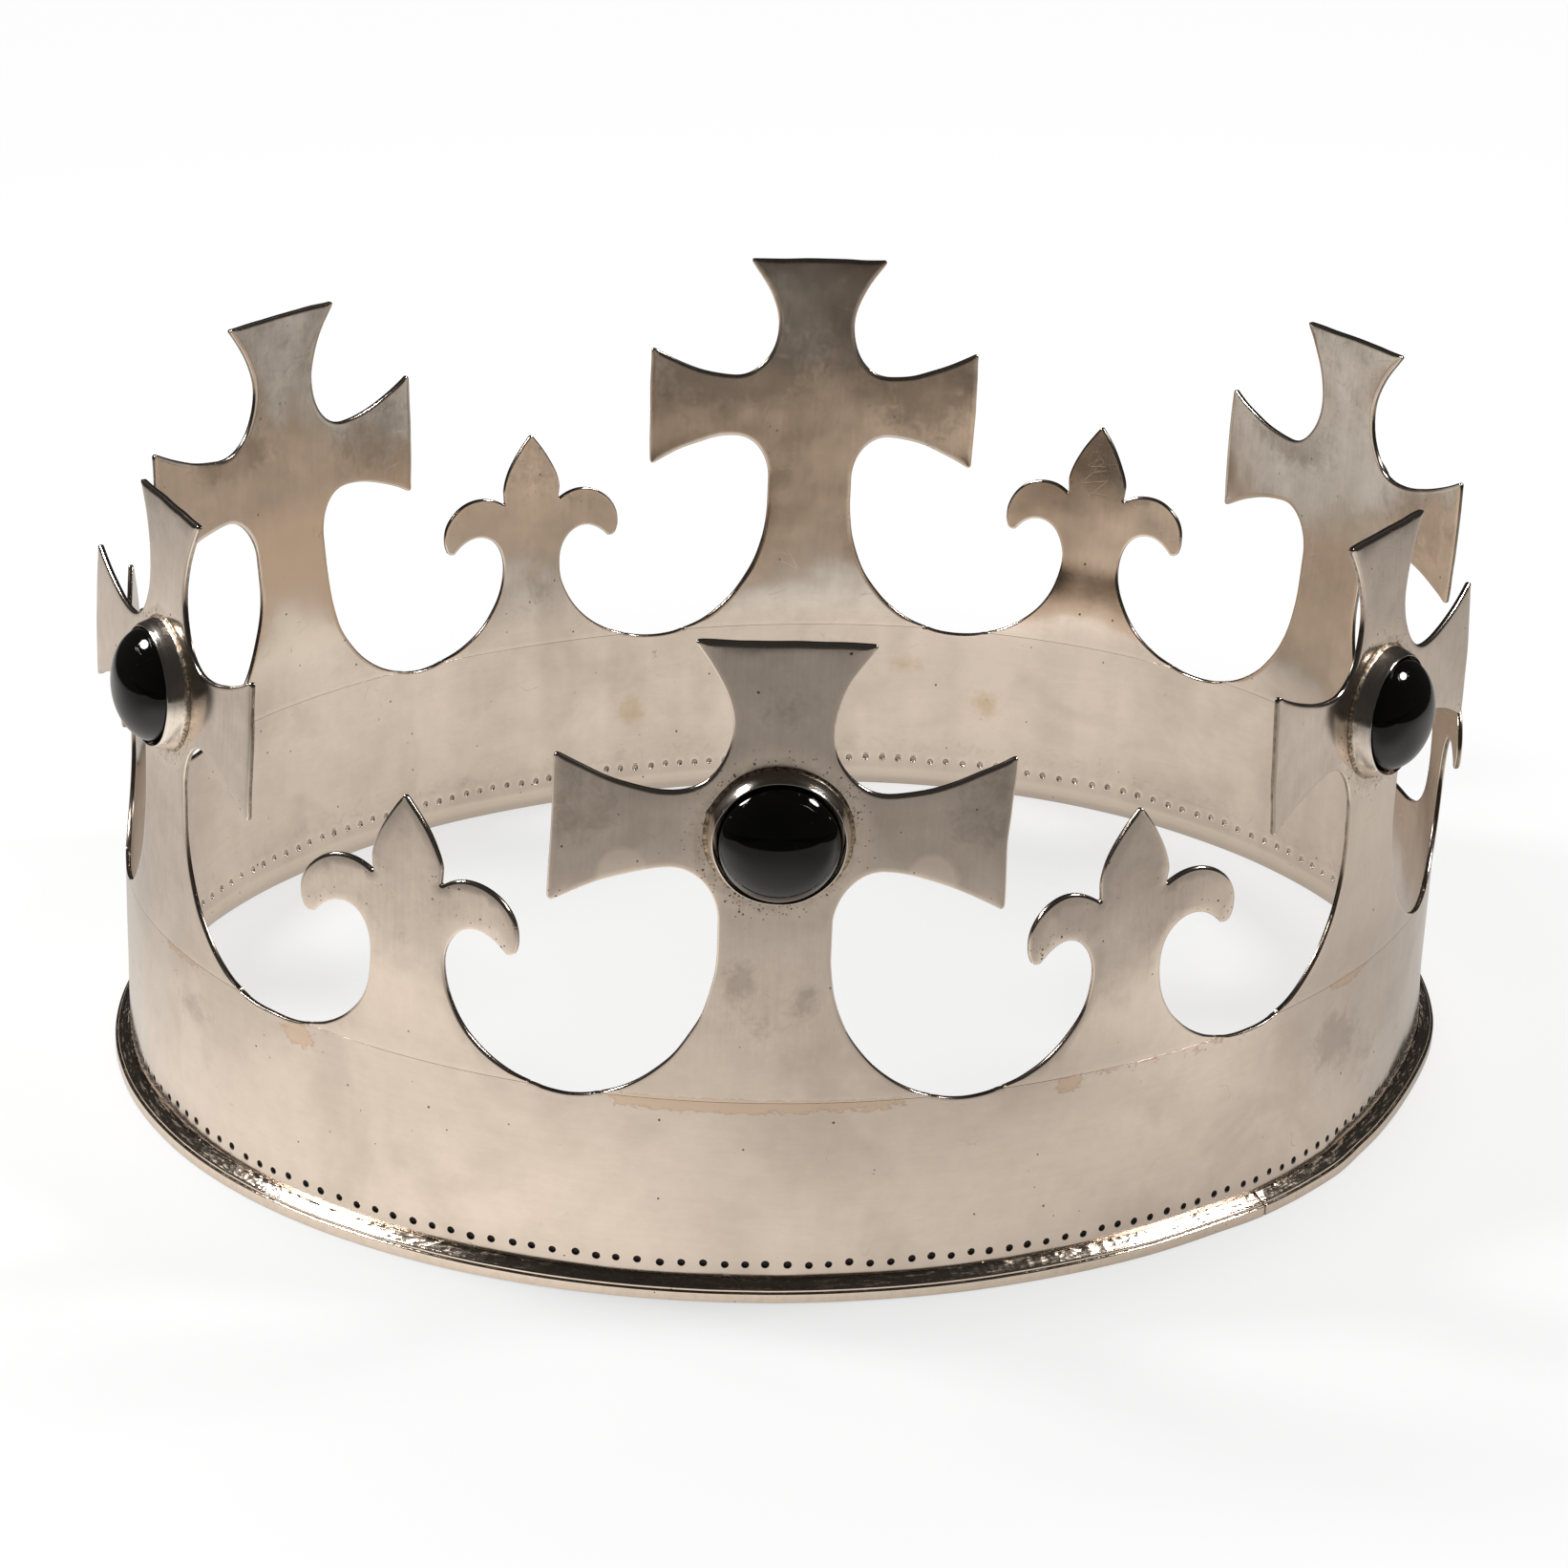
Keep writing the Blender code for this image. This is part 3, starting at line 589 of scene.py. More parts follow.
def cross_marks(k):
    def marks(s, z, out):
        az = turned(CROSS_AZ[k], s + CROSS_SHIFT[k])
        ring = math.hypot(s, z - STONE_Z)
        inner = out < -0.5 * SHEET
        grey, grime, pale, dim = 0.0, 0.0, 0.0, 0.0
        if inner:
            dim = (1.0 if k == 3 else 0.35) * smooth((z - SEAM_Z) / 16.0)
            grey = (0.75 if k == 3 else 0.3) * smooth((z - 66.0) / 22.0)
            grey += 0.9 * blob(s, z, 12.0, 74.0, 9.0, 4.0) + 0.8 * blob(s, z, -20.0, 70.0, 9.0, 7.0)
            if k == 3:
                grey += 0.4 * blob(s, z, 21.0, 69.0, 8.0, 7.0)
            elif k == 4:
                pale = 1.0 * smooth((66.0 - z) / 8.0) * smooth((z - SEAM_Z - 2.0) / 8.0)
        else:
            under = smooth((62.5 - z) / 3.0) * smooth((z - 57.0) / 2.0)
            grime = 1.0 * smooth((13.2 - ring) / 3.2) * (0.5 + 0.5 * smooth((3.0 - s + 66.0 - z) / 10.0))
            grime += 0.55 * under * smooth((abs(s) - 12.0) / 6.0)
            # a pale ring round the collar: a painted reflection of the collar in the plate
            pale = 0.9 * smooth((12.6 - ring) / 2.2) * smooth((z - 52.0) / 10.0)
            if k == 1:
                pale += 0.55 * smooth((60.0 - z) / 6.0) * smooth((z - SEAM_Z - 2.0) / 6.0)
            if k == 0:
                grey = 0.9 * blob(s, z, -4.2, 47.5, 2.4, 3.4) + 0.75 * blob(s, z, 4.6, 45.0, 2.0, 3.0)
                grey += 0.5 * blob(s, z, -1.0, 41.0, 4.0, 2.4) + 0.45 * blob(s, z, 1.0, 86.0, 6.0, 4.0)
                spot = min(math.hypot(s - 19.6, z - 62.5), math.hypot(s + 19.6, z - 62.5))
                pale += 1.0 * smooth((3.3 - spot) / 0.8)
                grey -= 0.5 * smooth((4.2 - spot) / 1.6)
                grey += 0.45 * smooth((abs(s) - 17.0) / 6.0) * smooth((z - 64.0) / 5.0)
        stain = seam_stain(az, z) * (0.3 if inner else 1.0)
        return (around(az) * PER_DEG, z, INSIDE if inner else 0.0), (stain, grey, grime), pale, dim

    return marks


def fleur_marks(k):
    def marks(s, z, out):
        az = turned(FLEUR_AZ[k], s + FLEUR_SHIFT[k])
        inner = out < -0.5 * SHEET
        grey, grime, pale, dim = 0.0, 0.0, 0.0, 0.0
        if inner:
            dim = 0.2 * smooth((z - SEAM_Z) / 14.0)
            grey = 0.5 * smooth((z - 46.0) / 18.0) + 0.5 * blob(s, z, -1.0, 40.0, 4.0, 6.0)
        else:
            # tarnish ends in a drip line across the stem
            drip = 36.5 + 1.5 * abs(s + 0.5) if k == 0 else 42.6 + 0.9 * math.sin(1.3 * s + k)
            grey = 0.2 * smooth((z - drip) / 1.0) * (1.0 - 0.6 * smooth((s - 8.0) / 4.0) if k == 0 else 1.0)
            pale = 0.4 * (1.0 - smooth((z - drip) / 1.0)) * smooth((z - SEAM_Z - 2.0) / 5.0)
            grime = 0.4 * smooth((z - 44.0) / 5.0) * smooth((54.0 - z) / 5.0) * smooth((abs(s) - 6.0) / 5.0)
            grime += 0.5 * blob(abs(s), z, 5.6, 55.6, 1.6, 1.6)
        stain = seam_stain(az, z) * (0.3 if inner else 1.0)
        return (around(az) * PER_DEG, z, INSIDE if inner else 0.0), (stain, grey, grime), pale, dim

    return marks


# ---------------------------------------------------------------- the hoop
def feet():
    crosses = [turned(a, s) for a, s in zip(CROSS_AZ, CROSS_SHIFT)]
    fleurs = [turned(a, s) for a, s in zip(FLEUR_AZ, FLEUR_SHIFT)]
    return (
        (crosses, CROSS_ARC_S, CROSS_ARC_Z, CROSS_STEM),
        (fleurs, FLEUR_ARC_S, FLEUR_ARC_Z, FLEUR_STEM),
    )


FEET = feet()


def top_edge(az):
    """Height of the hoop's top edge: the openings dip a little below the seam."""
    height = low = ARC_BOTTOM_Z + 0.45 * math.exp(-((((az - 257.0 + 180.0) % 360.0 - 180.0) / 6.0) ** 2))
    for middles, arc_s, arc_z, stem in FEET:
        for middle in middles:
            off = (az - middle + 180.0) % 360.0 - 180.0
            half = middle + off / 2
            s = math.radians(abs(off)) * math.hypot(foot_r(half), slope(half))
            if s < arc_s:
                u = (arc_s - s) / (arc_s - stem)
                rise = 1.0 - math.sqrt(max(0.0, 1.0 - u * u)) if u < 1.0 else 1.0
                height = max(height, low + (arc_z - low) * rise)
    return height


def hoop_mesh():
    rng = random.Random(11)
    columns = HOLES * 4
    step = 360.0 / columns
    tops = [top_edge(c * step) for c in range(columns)]
    verts, faces, rows, edge, warm, soot, cut, pale = [], [], [], [], [], [], [], []

    def point(az, z, out, e, black=0.0, sawn=0.0):
        inner = out < -0.5 * SHEET
        verts.append(at(wall(az, z, out)))
        u = around(az) * PER_DEG
        marks, yellow = hoop_marks(az, z, inner)
        rows.append(((u, z, INSIDE if inner else 0.0), marks))
        edge.append(min(4.0, e))
        warm.append(yellow)
        soot.append(black)
        cut.append(sawn)
        pale.append(0.8 * smooth((3.4 - z) / 0.9) if inner else 0.0)
        return len(verts) - 1

    low = (0.12, 1.4, 2.6, 3.2)
    high = (6.2, 7.6, 9.6, 12.0, 14.6, 17.2, 19.8, 22.4, 24.8, 26.6, 27.7)
    loops, closed, sharp = [], [], set()
    for c in range(columns):
        az, top = c * step, tops[c]
        open_edge = smooth((SEAM_Z - 0.05 - top) / 0.3)
        top = min(top, SEAM_Z - 0.012)
        rho = 0.02 + 0.2 * open_edge
        wear = 4.0 * (1.0 - open_edge)
        column = [point(az, 0.0, -0.14, 9), point(az, 0.12, 0.0, 9)]
        column += [point(az, z, 0.0, 9) for z in low[1:]]
        column += [point(az, z, 0.0, top - z + wear) for z in high]
        column.append(point(az, top - 0.55, 0.0, 0.55 + wear))
        closed.append(open_edge == 0.0)
        for t in (0, 30, 60, 90):
            a, sawn = math.radians(t), open_edge * min(1.0, t / 60.0)
            column.append(point(az, top - rho * (1 - math.sin(a)), -rho * (1 - math.cos(a)), wear, 0.0, sawn))
        for t in (90, 60, 30, 0):
            a, sawn = math.radians(t), open_edge * min(1.0, t / 60.0)
            column.append(point(az, top - rho * (1 - math.sin(a)), -SHEET + rho * (1 - math.cos(a)), wear, 0.0, sawn))
        column.append(point(az, top - 0.55, -SHEET, 0.55 + wear))
        column += [point(az, z, -SHEET, top - z + wear) for z in reversed(high)]
        column += [point(az, z, -SHEET, 9) for z in reversed(low[1:])]
        column += [point(az, 0.12, -SHEET, 9), point(az, 0.0, -SHEET + 0.14, 9)]
        loops.append(column)
    count = len(loops[0])
    out_low, out_high = 4, 5  # rows of the outer strip with the holes
    in_high, in_low = count - 6, count - 5
    turn_out = 2 + len(low) - 1 + len(high) + 1  # where the top edge starts to round over
    for c in range(columns):
        here, there = loops[c], loops[(c + 1) % columns]
        for i in range(count):
            if i in (out_low, in_high):
                continue
            j = (i + 1) % count
            faces.append((here[i], there[i], there[j], here[j]))
            if closed[c] and closed[(c + 1) % columns] and i in (turn_out, turn_out + 7):
                sharp.add((min(here[i], there[i]), max(here[i], there[i])))
    rise = (3.95, 4.7, 5.45)
    sides = []
    for h in range(HOLES):
        az = h * 4 * step
        sides.append(
            ([point(az, z, 0.0, 9) for z in rise], [point(az, z, -SHEET, 9) for z in rise])
        )
    for h in range(HOLES):
        cell = [loops[(4 * h + j) % columns] for j in range(5)]
        (left_out, left_in), (right_out, right_in) = sides[h], sides[(h + 1) % HOLES]
        outer = [c[out_low] for c in cell] + right_out + [c[out_high] for c in reversed(cell)] + left_out[::-1]
        inner = [c[in_low] for c in cell] + right_in + [c[in_high] for c in reversed(cell)] + left_in[::-1]
        middle = (4 * h + 2) * step + rng.uniform(-0.2, 0.2) / PER_DEG
        z0 = HOLE_Z + rng.uniform(-0.2, 0.2)
        r0 = HOLE_R * rng.uniform(0.98, 1.16)
        burr = rng.uniform(0.6, 1.2)
        fill = rng.uniform(0.22, 0.5)
        # each hole is closed by a dark web between two countersunk ends: painted shade standing for the dark seen
        # through the hole
        front = (
            (r0 + 0.42, 0.0, 4.0, 0.0),
            (r0 + 0.19, 0.008 * burr, 0.5, 0.0),
            (r0 + 0.1, 0.012 * burr, 0.2, 0.0),
            (r0 + 0.045, 0.0, 0.0, 0.9),
            (r0 - 0.02, -0.1, 0.0, 1.0),
            (r0 - 0.1, -0.27, 0.0, 1.0),
            (0.5 * r0, -0.34, 0.0, 1.0),
        )
        rear = (
            (0.5 * r0, -0.56, 0.0, fill),
            (r0 - 0.08, -0.6, 0.0, fill),
            (r0 - 0.02, -SHEET + 0.06, 0.0, 0.9 * fill),
            (r0 + 0.02, -SHEET - 0.02 * burr, 0.0, 0.4 * fill),
            (r0 + 0.1, -SHEET - 0.06 * burr, 0.1, 0.0),
            (r0 + 0.24, -SHEET - 0.03 * burr, 0.24, 0.0),
            (r0 + 0.48, -SHEET, 0.48, 0.0),
        )
        for start, shape, stop in ((outer, front, None), (None, rear, inner)):
            rings = [start] if start else []
            for r, out, e, black in shape:
                ring = []
                for j in range(16):
                    a = math.radians(225.0 + 22.5 * j)
                    uneven = r * (1.0 + (0.05 * noise.noise(Vector((3.1 * h, 2.0 * a, r))) if r < 0.7 else 0.0))
                    ring.append(
                        point(middle + uneven * math.cos(a) / PER_DEG, z0 + uneven * math.sin(a), out, e, black)
                    )
                rings.append(ring)
            if stop:
                rings.append(stop)
            for a, b in zip(rings, rings[1:]):
                for j in range(16):
                    k = (j + 1) % 16
                    faces.append((a[j], a[k], b[k], b[j]))
            web = point(middle, z0, -0.36 if start else -0.54, 0.0, 1.0 if start else fill)
            rim = rings[-1] if start else rings[0]
            for j in range(16):
                k = (j + 1) % 16
                faces.append((rim[j], rim[k], web) if start else (rim[k], rim[j], web))
    return make_mesh("crown_hoop", verts, faces, rows, edge, sharp, warm=warm, soot=soot, cut=cut, pale=pale)


# ---------------------------------------------------------------- the rim moulding
RIM_SECTION = (
    # reach from the hoop, height, how dirty (at the foot's lower edge this darkening is painted shade), hammered
    # amount
    (0.03, 2.74, 0.9, 0.0),
    (0.14, 2.66, 1.0, 1.0),
    (0.26, 2.56, 0.9, 1.0),
    (0.42, 2.44, 0.8, 0.9),
    (0.62, 2.3, 0.7, 0.7),
    (0.84, 2.14, 0.7, 0.6),
    (1.06, 1.98, 0.7, 0.5),
    (1.28, 1.82, 0.7, 0.4),
    (1.46, 1.68, 0.8, 0.3),
    (1.53, 1.67, 0.6, 0.1),
    (1.57, 1.79, 0.2, 0.05),
    (1.65, 1.88, 0.0, 0.05),
    (1.75, 1.88, 0.0, 0.05),
    (1.83, 1.81, 0.0, 0.05),
    (1.87, 1.69, 0.0, 0.05),
    (1.88, 1.52, 0.1, 0.05),
    (1.92, 1.42, 1.0, 0.1),
    (1.98, 1.36, 1.0, 0.15),
    (2.06, 1.38, 0.7, 0.1),
    (2.12, 1.43, 0.1, 0.05),
    (2.19, 1.45, 0.0, 0.03),
    (2.26, 1.41, 0.0, 0.0),
    (2.3, 1.31, 0.0, 0.0),
    (2.3, 0.6, 0.0, 0.0),
    (2.3, 0.15, 0.0, 0.0),
    # the foot's lower edge is darkened: painted shade where the moulding meets the floor
    (2.27, 0.05, 0.7, 0.0),
    (2.17, 0.0, 1.0, 0.0),
    (0.03, 0.0, 0.2, 0.0),
)
RIM_JOINT = 46.5  # azimuth of the moulding's butt joint


def rim_mesh():
    steps = 1500
    verts, faces, rows, edge, rings = [], [], [], [], []
    stops = [360.0 * k / steps for k in range(steps)]
    stops += [RIM_JOINT - 0.17, RIM_JOINT - 0.08, RIM_JOINT, RIM_JOINT + 0.08, RIM_JOINT + 0.17]
    for az in sorted(stops):
        a = math.radians(az)
        p = Vector((WALL_R * math.sin(a), -WALL_R * math.cos(a), 0.0))
        split = max(0.0, 1.0 - abs(az - RIM_JOINT) / 0.15)
        ring, run = [], 0.0
        for i, (r, z, dark, beat) in enumerate(RIM_SECTION):
            q = p + Vector((0.0, 0.0, 4.0 * r + 3.0 * z))
            n1 = noise.noise(q / 1.5)
            n2 = noise.noise(q / 4.0 + Vector((7.0, 1.0, 2.0)))
            push = beat * (0.05 * n1 + 0.03 * n2) + 0.012 * n2
            lift = beat * 0.035 * noise.noise(q / 2.2 + Vector((3.0, 8.0, 1.0)))
            if i < 4:  # ragged solder
                push += beat * 0.04 * noise.noise(q / 0.9)
                lift += beat * 0.07 * noise.noise(q / 1.1 + Vector((5.0, 5.0, 5.0)))
            # the outer face stands a little taller at the sides than at the front
            lift += 0.12 * smooth((abs(around(az)) - 8.0) / 28.0) * smooth((z - 0.6) / 0.5) * (1.0 - smooth((z - 1.6) / 1.0))
            if i > 1 and i < len(RIM_SECTION) - 1:
                push -= 0.14 * split
                lift -= 0.1 * split if z > 1.15 else 0.0
            reach = r + push if 0 < i < len(RIM_SECTION) - 1 else r
            reach = min(RIM_OUT + 0.02, max(0.03, reach))
            if i:
                r0, z0 = RIM_SECTION[i - 1][:2]
                run += math.hypot(r - r0, z - z0)
            height = max(0.0, z + lift) if 0.0 < z < 2.85 else z
            verts.append(at(on_wall(az, height, reach + dent(az, 2.0) + swell(az, 0.0))))
            ring.append(len(verts) - 1)
            rows.append(((around(az) * PER_DEG, run, 0.0), (dark, split, 1.0 if i < 4 else 0.0)))
            edge.append(4.0)
        rings.append(ring)
    n = len(RIM_SECTION)
    for here, there in zip(rings, rings[1:] + rings[:1]):
        for i in range(n):
            j = (i + 1) % n
            faces.append((here[j], there[j], there[i], here[i]))
    return make_mesh("crown_rim_moulding", verts, faces, rows, edge)


# ---------------------------------------------------------------- settings
COLLAR = (
    # radius, height above the cross, solder, distance from the lip
    (9.6, 0.0, 1.0, 4.0),
    (9.46, 0.1, 1.0, 4.0),
    (9.3, 0.19, 1.0, 4.0),
    (9.18, 0.36, 0.7, 3.0),
    (9.1, 0.7, 0.15, 2.2),
    (9.03, 1.15, 0.0, 1.7),
    (8.93, 1.62, 0.0, 1.2),
    (8.79, 2.05, 0.0, 0.7),
    (8.67, 2.36, 0.0, 0.35),
    (8.57, 2.62, 0.0, 0.1),
    (8.5, 2.78, 0.0, 0.0),
    (8.43, 2.86, 0.0, 0.0),
    (8.36, 2.85, 0.0, 0.0),
    (8.32, 2.79, 0.0, 0.1),
    (8.3, 2.64, 0.0, 0.3),
    (8.3, 2.2, 0.0, 1.0),
    (8.35, 1.3, 0.3, 2.0),
    (8.5, 0.0, 0.6, 4.0),
)
STONE_TIP = (3.0, 0.5, -0.5, 0.8, 1.0, 0.6)  # degrees, upwards, as set by hand


def collar_mesh(k):
    steps = 120
    verts, faces, rows, edge, rings = [], [], [], [], []
    for j in range(steps):
        a = 2.0 * math.pi * j / steps
        c, s = math.cos(a), math.sin(a)
        ring = []
        for i, (r, h, solder, lip) in enumerate(COLLAR):
            q = Vector((9.0 * c, 9.0 * s, 31.0 * k + h))
            rough = noise.noise(q / 0.9) + 0.6 * noise.noise(q / 0.4)
            soft = noise.noise(q / 4.0 + Vector((2.0, 5.0, 1.0)))
            r += 0.035 * soft + solder * 0.13 * rough * (1.0 if i < 4 else 0.2)
            if 0 < i < 4:
                h = max(0.03, h + 0.06 * rough)
            elif 4 <= i <= 14:
                h += 0.05 * noise.noise(q / 3.0) * (h / 2.8)
            verts.append(at(on_cross(k, r * c, STONE_Z + r * s, h)))
            ring.append(len(verts) - 1)
            rows.append(((9.0 * c, 9.0 * s, h + 60.0 * k), (solder, 0.0, 0.0)))
            edge.append(lip)
        rings.append(ring)
    n = len(COLLAR)
    for here, there in zip(rings, rings[1:] + rings[:1]):
        for i in range(n):
            j = (i + 1) % n
            faces.append((here[i], there[i], there[j], here[j]))
    return make_mesh(f"crown_collar_{k + 1}", verts, faces, rows, edge)


def stone_mesh(k):
    here = on_cross(k, 0.0, STONE_Z)
    side = (on_cross(k, 6.0, STONE_Z) - on_cross(k, -6.0, STONE_Z)).normalized()
    up = (on_cross(k, 0.0, STONE_Z + 6.0) - on_cross(k, 0.0, STONE_Z - 6.0)).normalized()
    axis = side.cross(up).normalized()
    up = axis.cross(side)
    tip = math.radians(STONE_TIP[k])
    here = here + axis * (0.5 * math.sin(abs(tip)))
    axis, up = axis * math.cos(tip) + up * math.sin(tip), up * math.cos(tip) - axis * math.sin(tip)
    steps, girdle = 96, 7.94
    profile = [(girdle - 0.4, 1.5), (girdle - 0.08, 1.56), (girdle, 1.7), (girdle, 2.0)]
    for i in range(1, 30):
        t = math.radians(90.0 * i / 30)
        profile.append((girdle * math.cos(t), 2.0 + 4.95 * math.sin(t)))
    verts, faces, rows, edge, rings = [], [], [], [], []

    def point(x, y, h):
        verts.append(at(here + side * x + up * y + axis * h))
        rows.append(((x, y, h + 20.0 * k), (0.0, 0.0, 0.0)))
        edge.append(4.0)
        return len(verts) - 1

    for r, h in profile:
        rings.append(
            [point(r * math.cos(2 * math.pi * j / steps), r * math.sin(2 * math.pi * j / steps), h) for j in range(steps)]
        )
    top, base = point(0.0, 0.0, 6.95), point(0.0, 0.0, 1.5)
    for a, b in zip(rings, rings[1:]):
        for j in range(steps):
            i = (j + 1) % steps
            faces.append((a[j], a[i], b[i], b[j]))
    for j in range(steps):
        i = (j + 1) % steps
        faces.append((rings[-1][j], rings[-1][i], top))
        faces.append((rings[0][i], rings[0][j], base))
    return make_mesh(f"crown_stone_{k + 1}", verts, faces, rows, edge)


# ---------------------------------------------------------------- materials
class Tree:
    """Short names for the nodes the materials use."""

    def __init__(self, name, mat=None):
        self.mat = mat or bpy.data.materials.new(name)
        self.mat.use_nodes = True
        self.nodes = self.mat.node_tree.nodes
        self.links = self.mat.node_tree.links
        self.shader = self.nodes["Principled BSDF"]

    def feed(self, socket, value):
        if isinstance(value, bpy.types.NodeSocket):
            self.links.new(value, socket)
        elif isinstance(value, (tuple, list)) and len(value) == 3 and socket.type == "RGBA":
            socket.default_value = (*value, 1.0)
        else:
            socket.default_value = value

    def attr(self, name):
        node = self.nodes.new("ShaderNodeAttribute")
        node.attribute_name = name
        return node

    def math(self, op, a, b=0.0, clamp=False):
        node = self.nodes.new("ShaderNodeMath")
        node.operation = op
        node.use_clamp = clamp
        self.feed(node.inputs[0], a)
        self.feed(node.inputs[1], b)
        return node.outputs[0]

    def add(self, a, b):
        return self.math("ADD", a, b)

    def mul(self, a, b, clamp=False):
        return self.math("MULTIPLY", a, b, clamp)

    def blend(self, fac, a, b):
        return self.add(a, self.mul(fac, self.math("SUBTRACT", b, a)))

    def ease(self, value, low, high, to_low=0.0, to_high=1.0):
        node = self.nodes.new("ShaderNodeMapRange")
        node.interpolation_type = "SMOOTHSTEP"
        self.feed(node.inputs["Value"], value)
        node.inputs["From Min"].default_value = low
        node.inputs["From Max"].default_value = high
        node.inputs["To Min"].default_value = to_low
        node.inputs["To Max"].default_value = to_high
        return node.outputs["Result"]

    def scaled(self, vector, x, y, z=1.0, turn=0.0):
        node = self.nodes.new("ShaderNodeMapping")
        if turn:
            spin = self.nodes.new("ShaderNodeVectorRotate")
            spin.rotation_type = "Z_AXIS"
            self.feed(spin.inputs["Vector"], vector)
            spin.inputs["Angle"].default_value = math.radians(turn)
            vector = spin.outputs["Vector"]
        self.feed(node.inputs["Vector"], vector)
        node.inputs["Scale"].default_value = (x, y, z)
        return node.outputs["Vector"]

    def noise(self, vector, scale, detail=3.0, rough=0.55, distortion=0.0):
        node = self.nodes.new("ShaderNodeTexNoise")
        self.feed(node.inputs["Vector"], vector)
        node.inputs["Scale"].default_value = scale
        node.inputs["Detail"].default_value = detail
        node.inputs["Roughness"].default_value = rough
        node.inputs["Distortion"].default_value = distortion
        return node.outputs["Fac"]

    def voronoi(self, vector, scale, feature="F1", random=1.0):
        node = self.nodes.new("ShaderNodeTexVoronoi")
        node.feature = feature
        self.feed(node.inputs["Vector"], vector)
        node.inputs["Scale"].default_value = scale
        node.inputs["Randomness"].default_value = random
        return node

    def mix(self, fac, a, b, blend="MIX"):
        node = self.nodes.new("ShaderNodeMix")
        node.data_type = "RGBA"
        node.blend_type = blend
        self.feed(node.inputs["Factor"], fac)
        self.feed(node.inputs[6], a)
        self.feed(node.inputs[7], b)
        return node.outputs[2]

    def nearest(self, vector, places):
        """Distance on the unrolled sheet to the nearest of some places on its outer side."""
        best = None
        for u, z in places:
            node = self.nodes.new("ShaderNodeVectorMath")
            node.operation = "DISTANCE"
            self.feed(node.inputs[0], vector)
            node.inputs[1].default_value = (u, z, 0.0)
            best = node.outputs["Value"] if best is None else self.math("MINIMUM", best, node.outputs["Value"])
        return best

    def split(self, vector):
        node = self.nodes.new("ShaderNodeSeparateXYZ")
        self.feed(node.inputs[0], vector)
        return node.outputs

    def bump(self, height, distance, strength=1.0, normal=None):
        node = self.nodes.new("ShaderNodeBump")
        node.inputs["Distance"].default_value = distance
        node.inputs["Strength"].default_value = strength
        self.feed(node.inputs["Height"], height)
        if normal is not None:
            self.feed(node.inputs["Normal"], normal)
        return node.outputs["Normal"]


def scratches(t, vector, turn, length, gap, width, keep):
    """Broken straight hairlines: about gap mm apart, length mm long, width mm wide."""
    v = t.scaled(vector, 1.0 / length, 1.0 / gap, 1.0, turn)
    lines = t.voronoi(v, 1.0, "DISTANCE_TO_EDGE").outputs["Distance"]
    line = t.ease(lines, 0.0, width / gap, 1.0, 0.0)
    gate = t.ease(t.noise(vector, 0.11, 2.0), keep, keep + 0.06)
    return t.mul(line, gate)


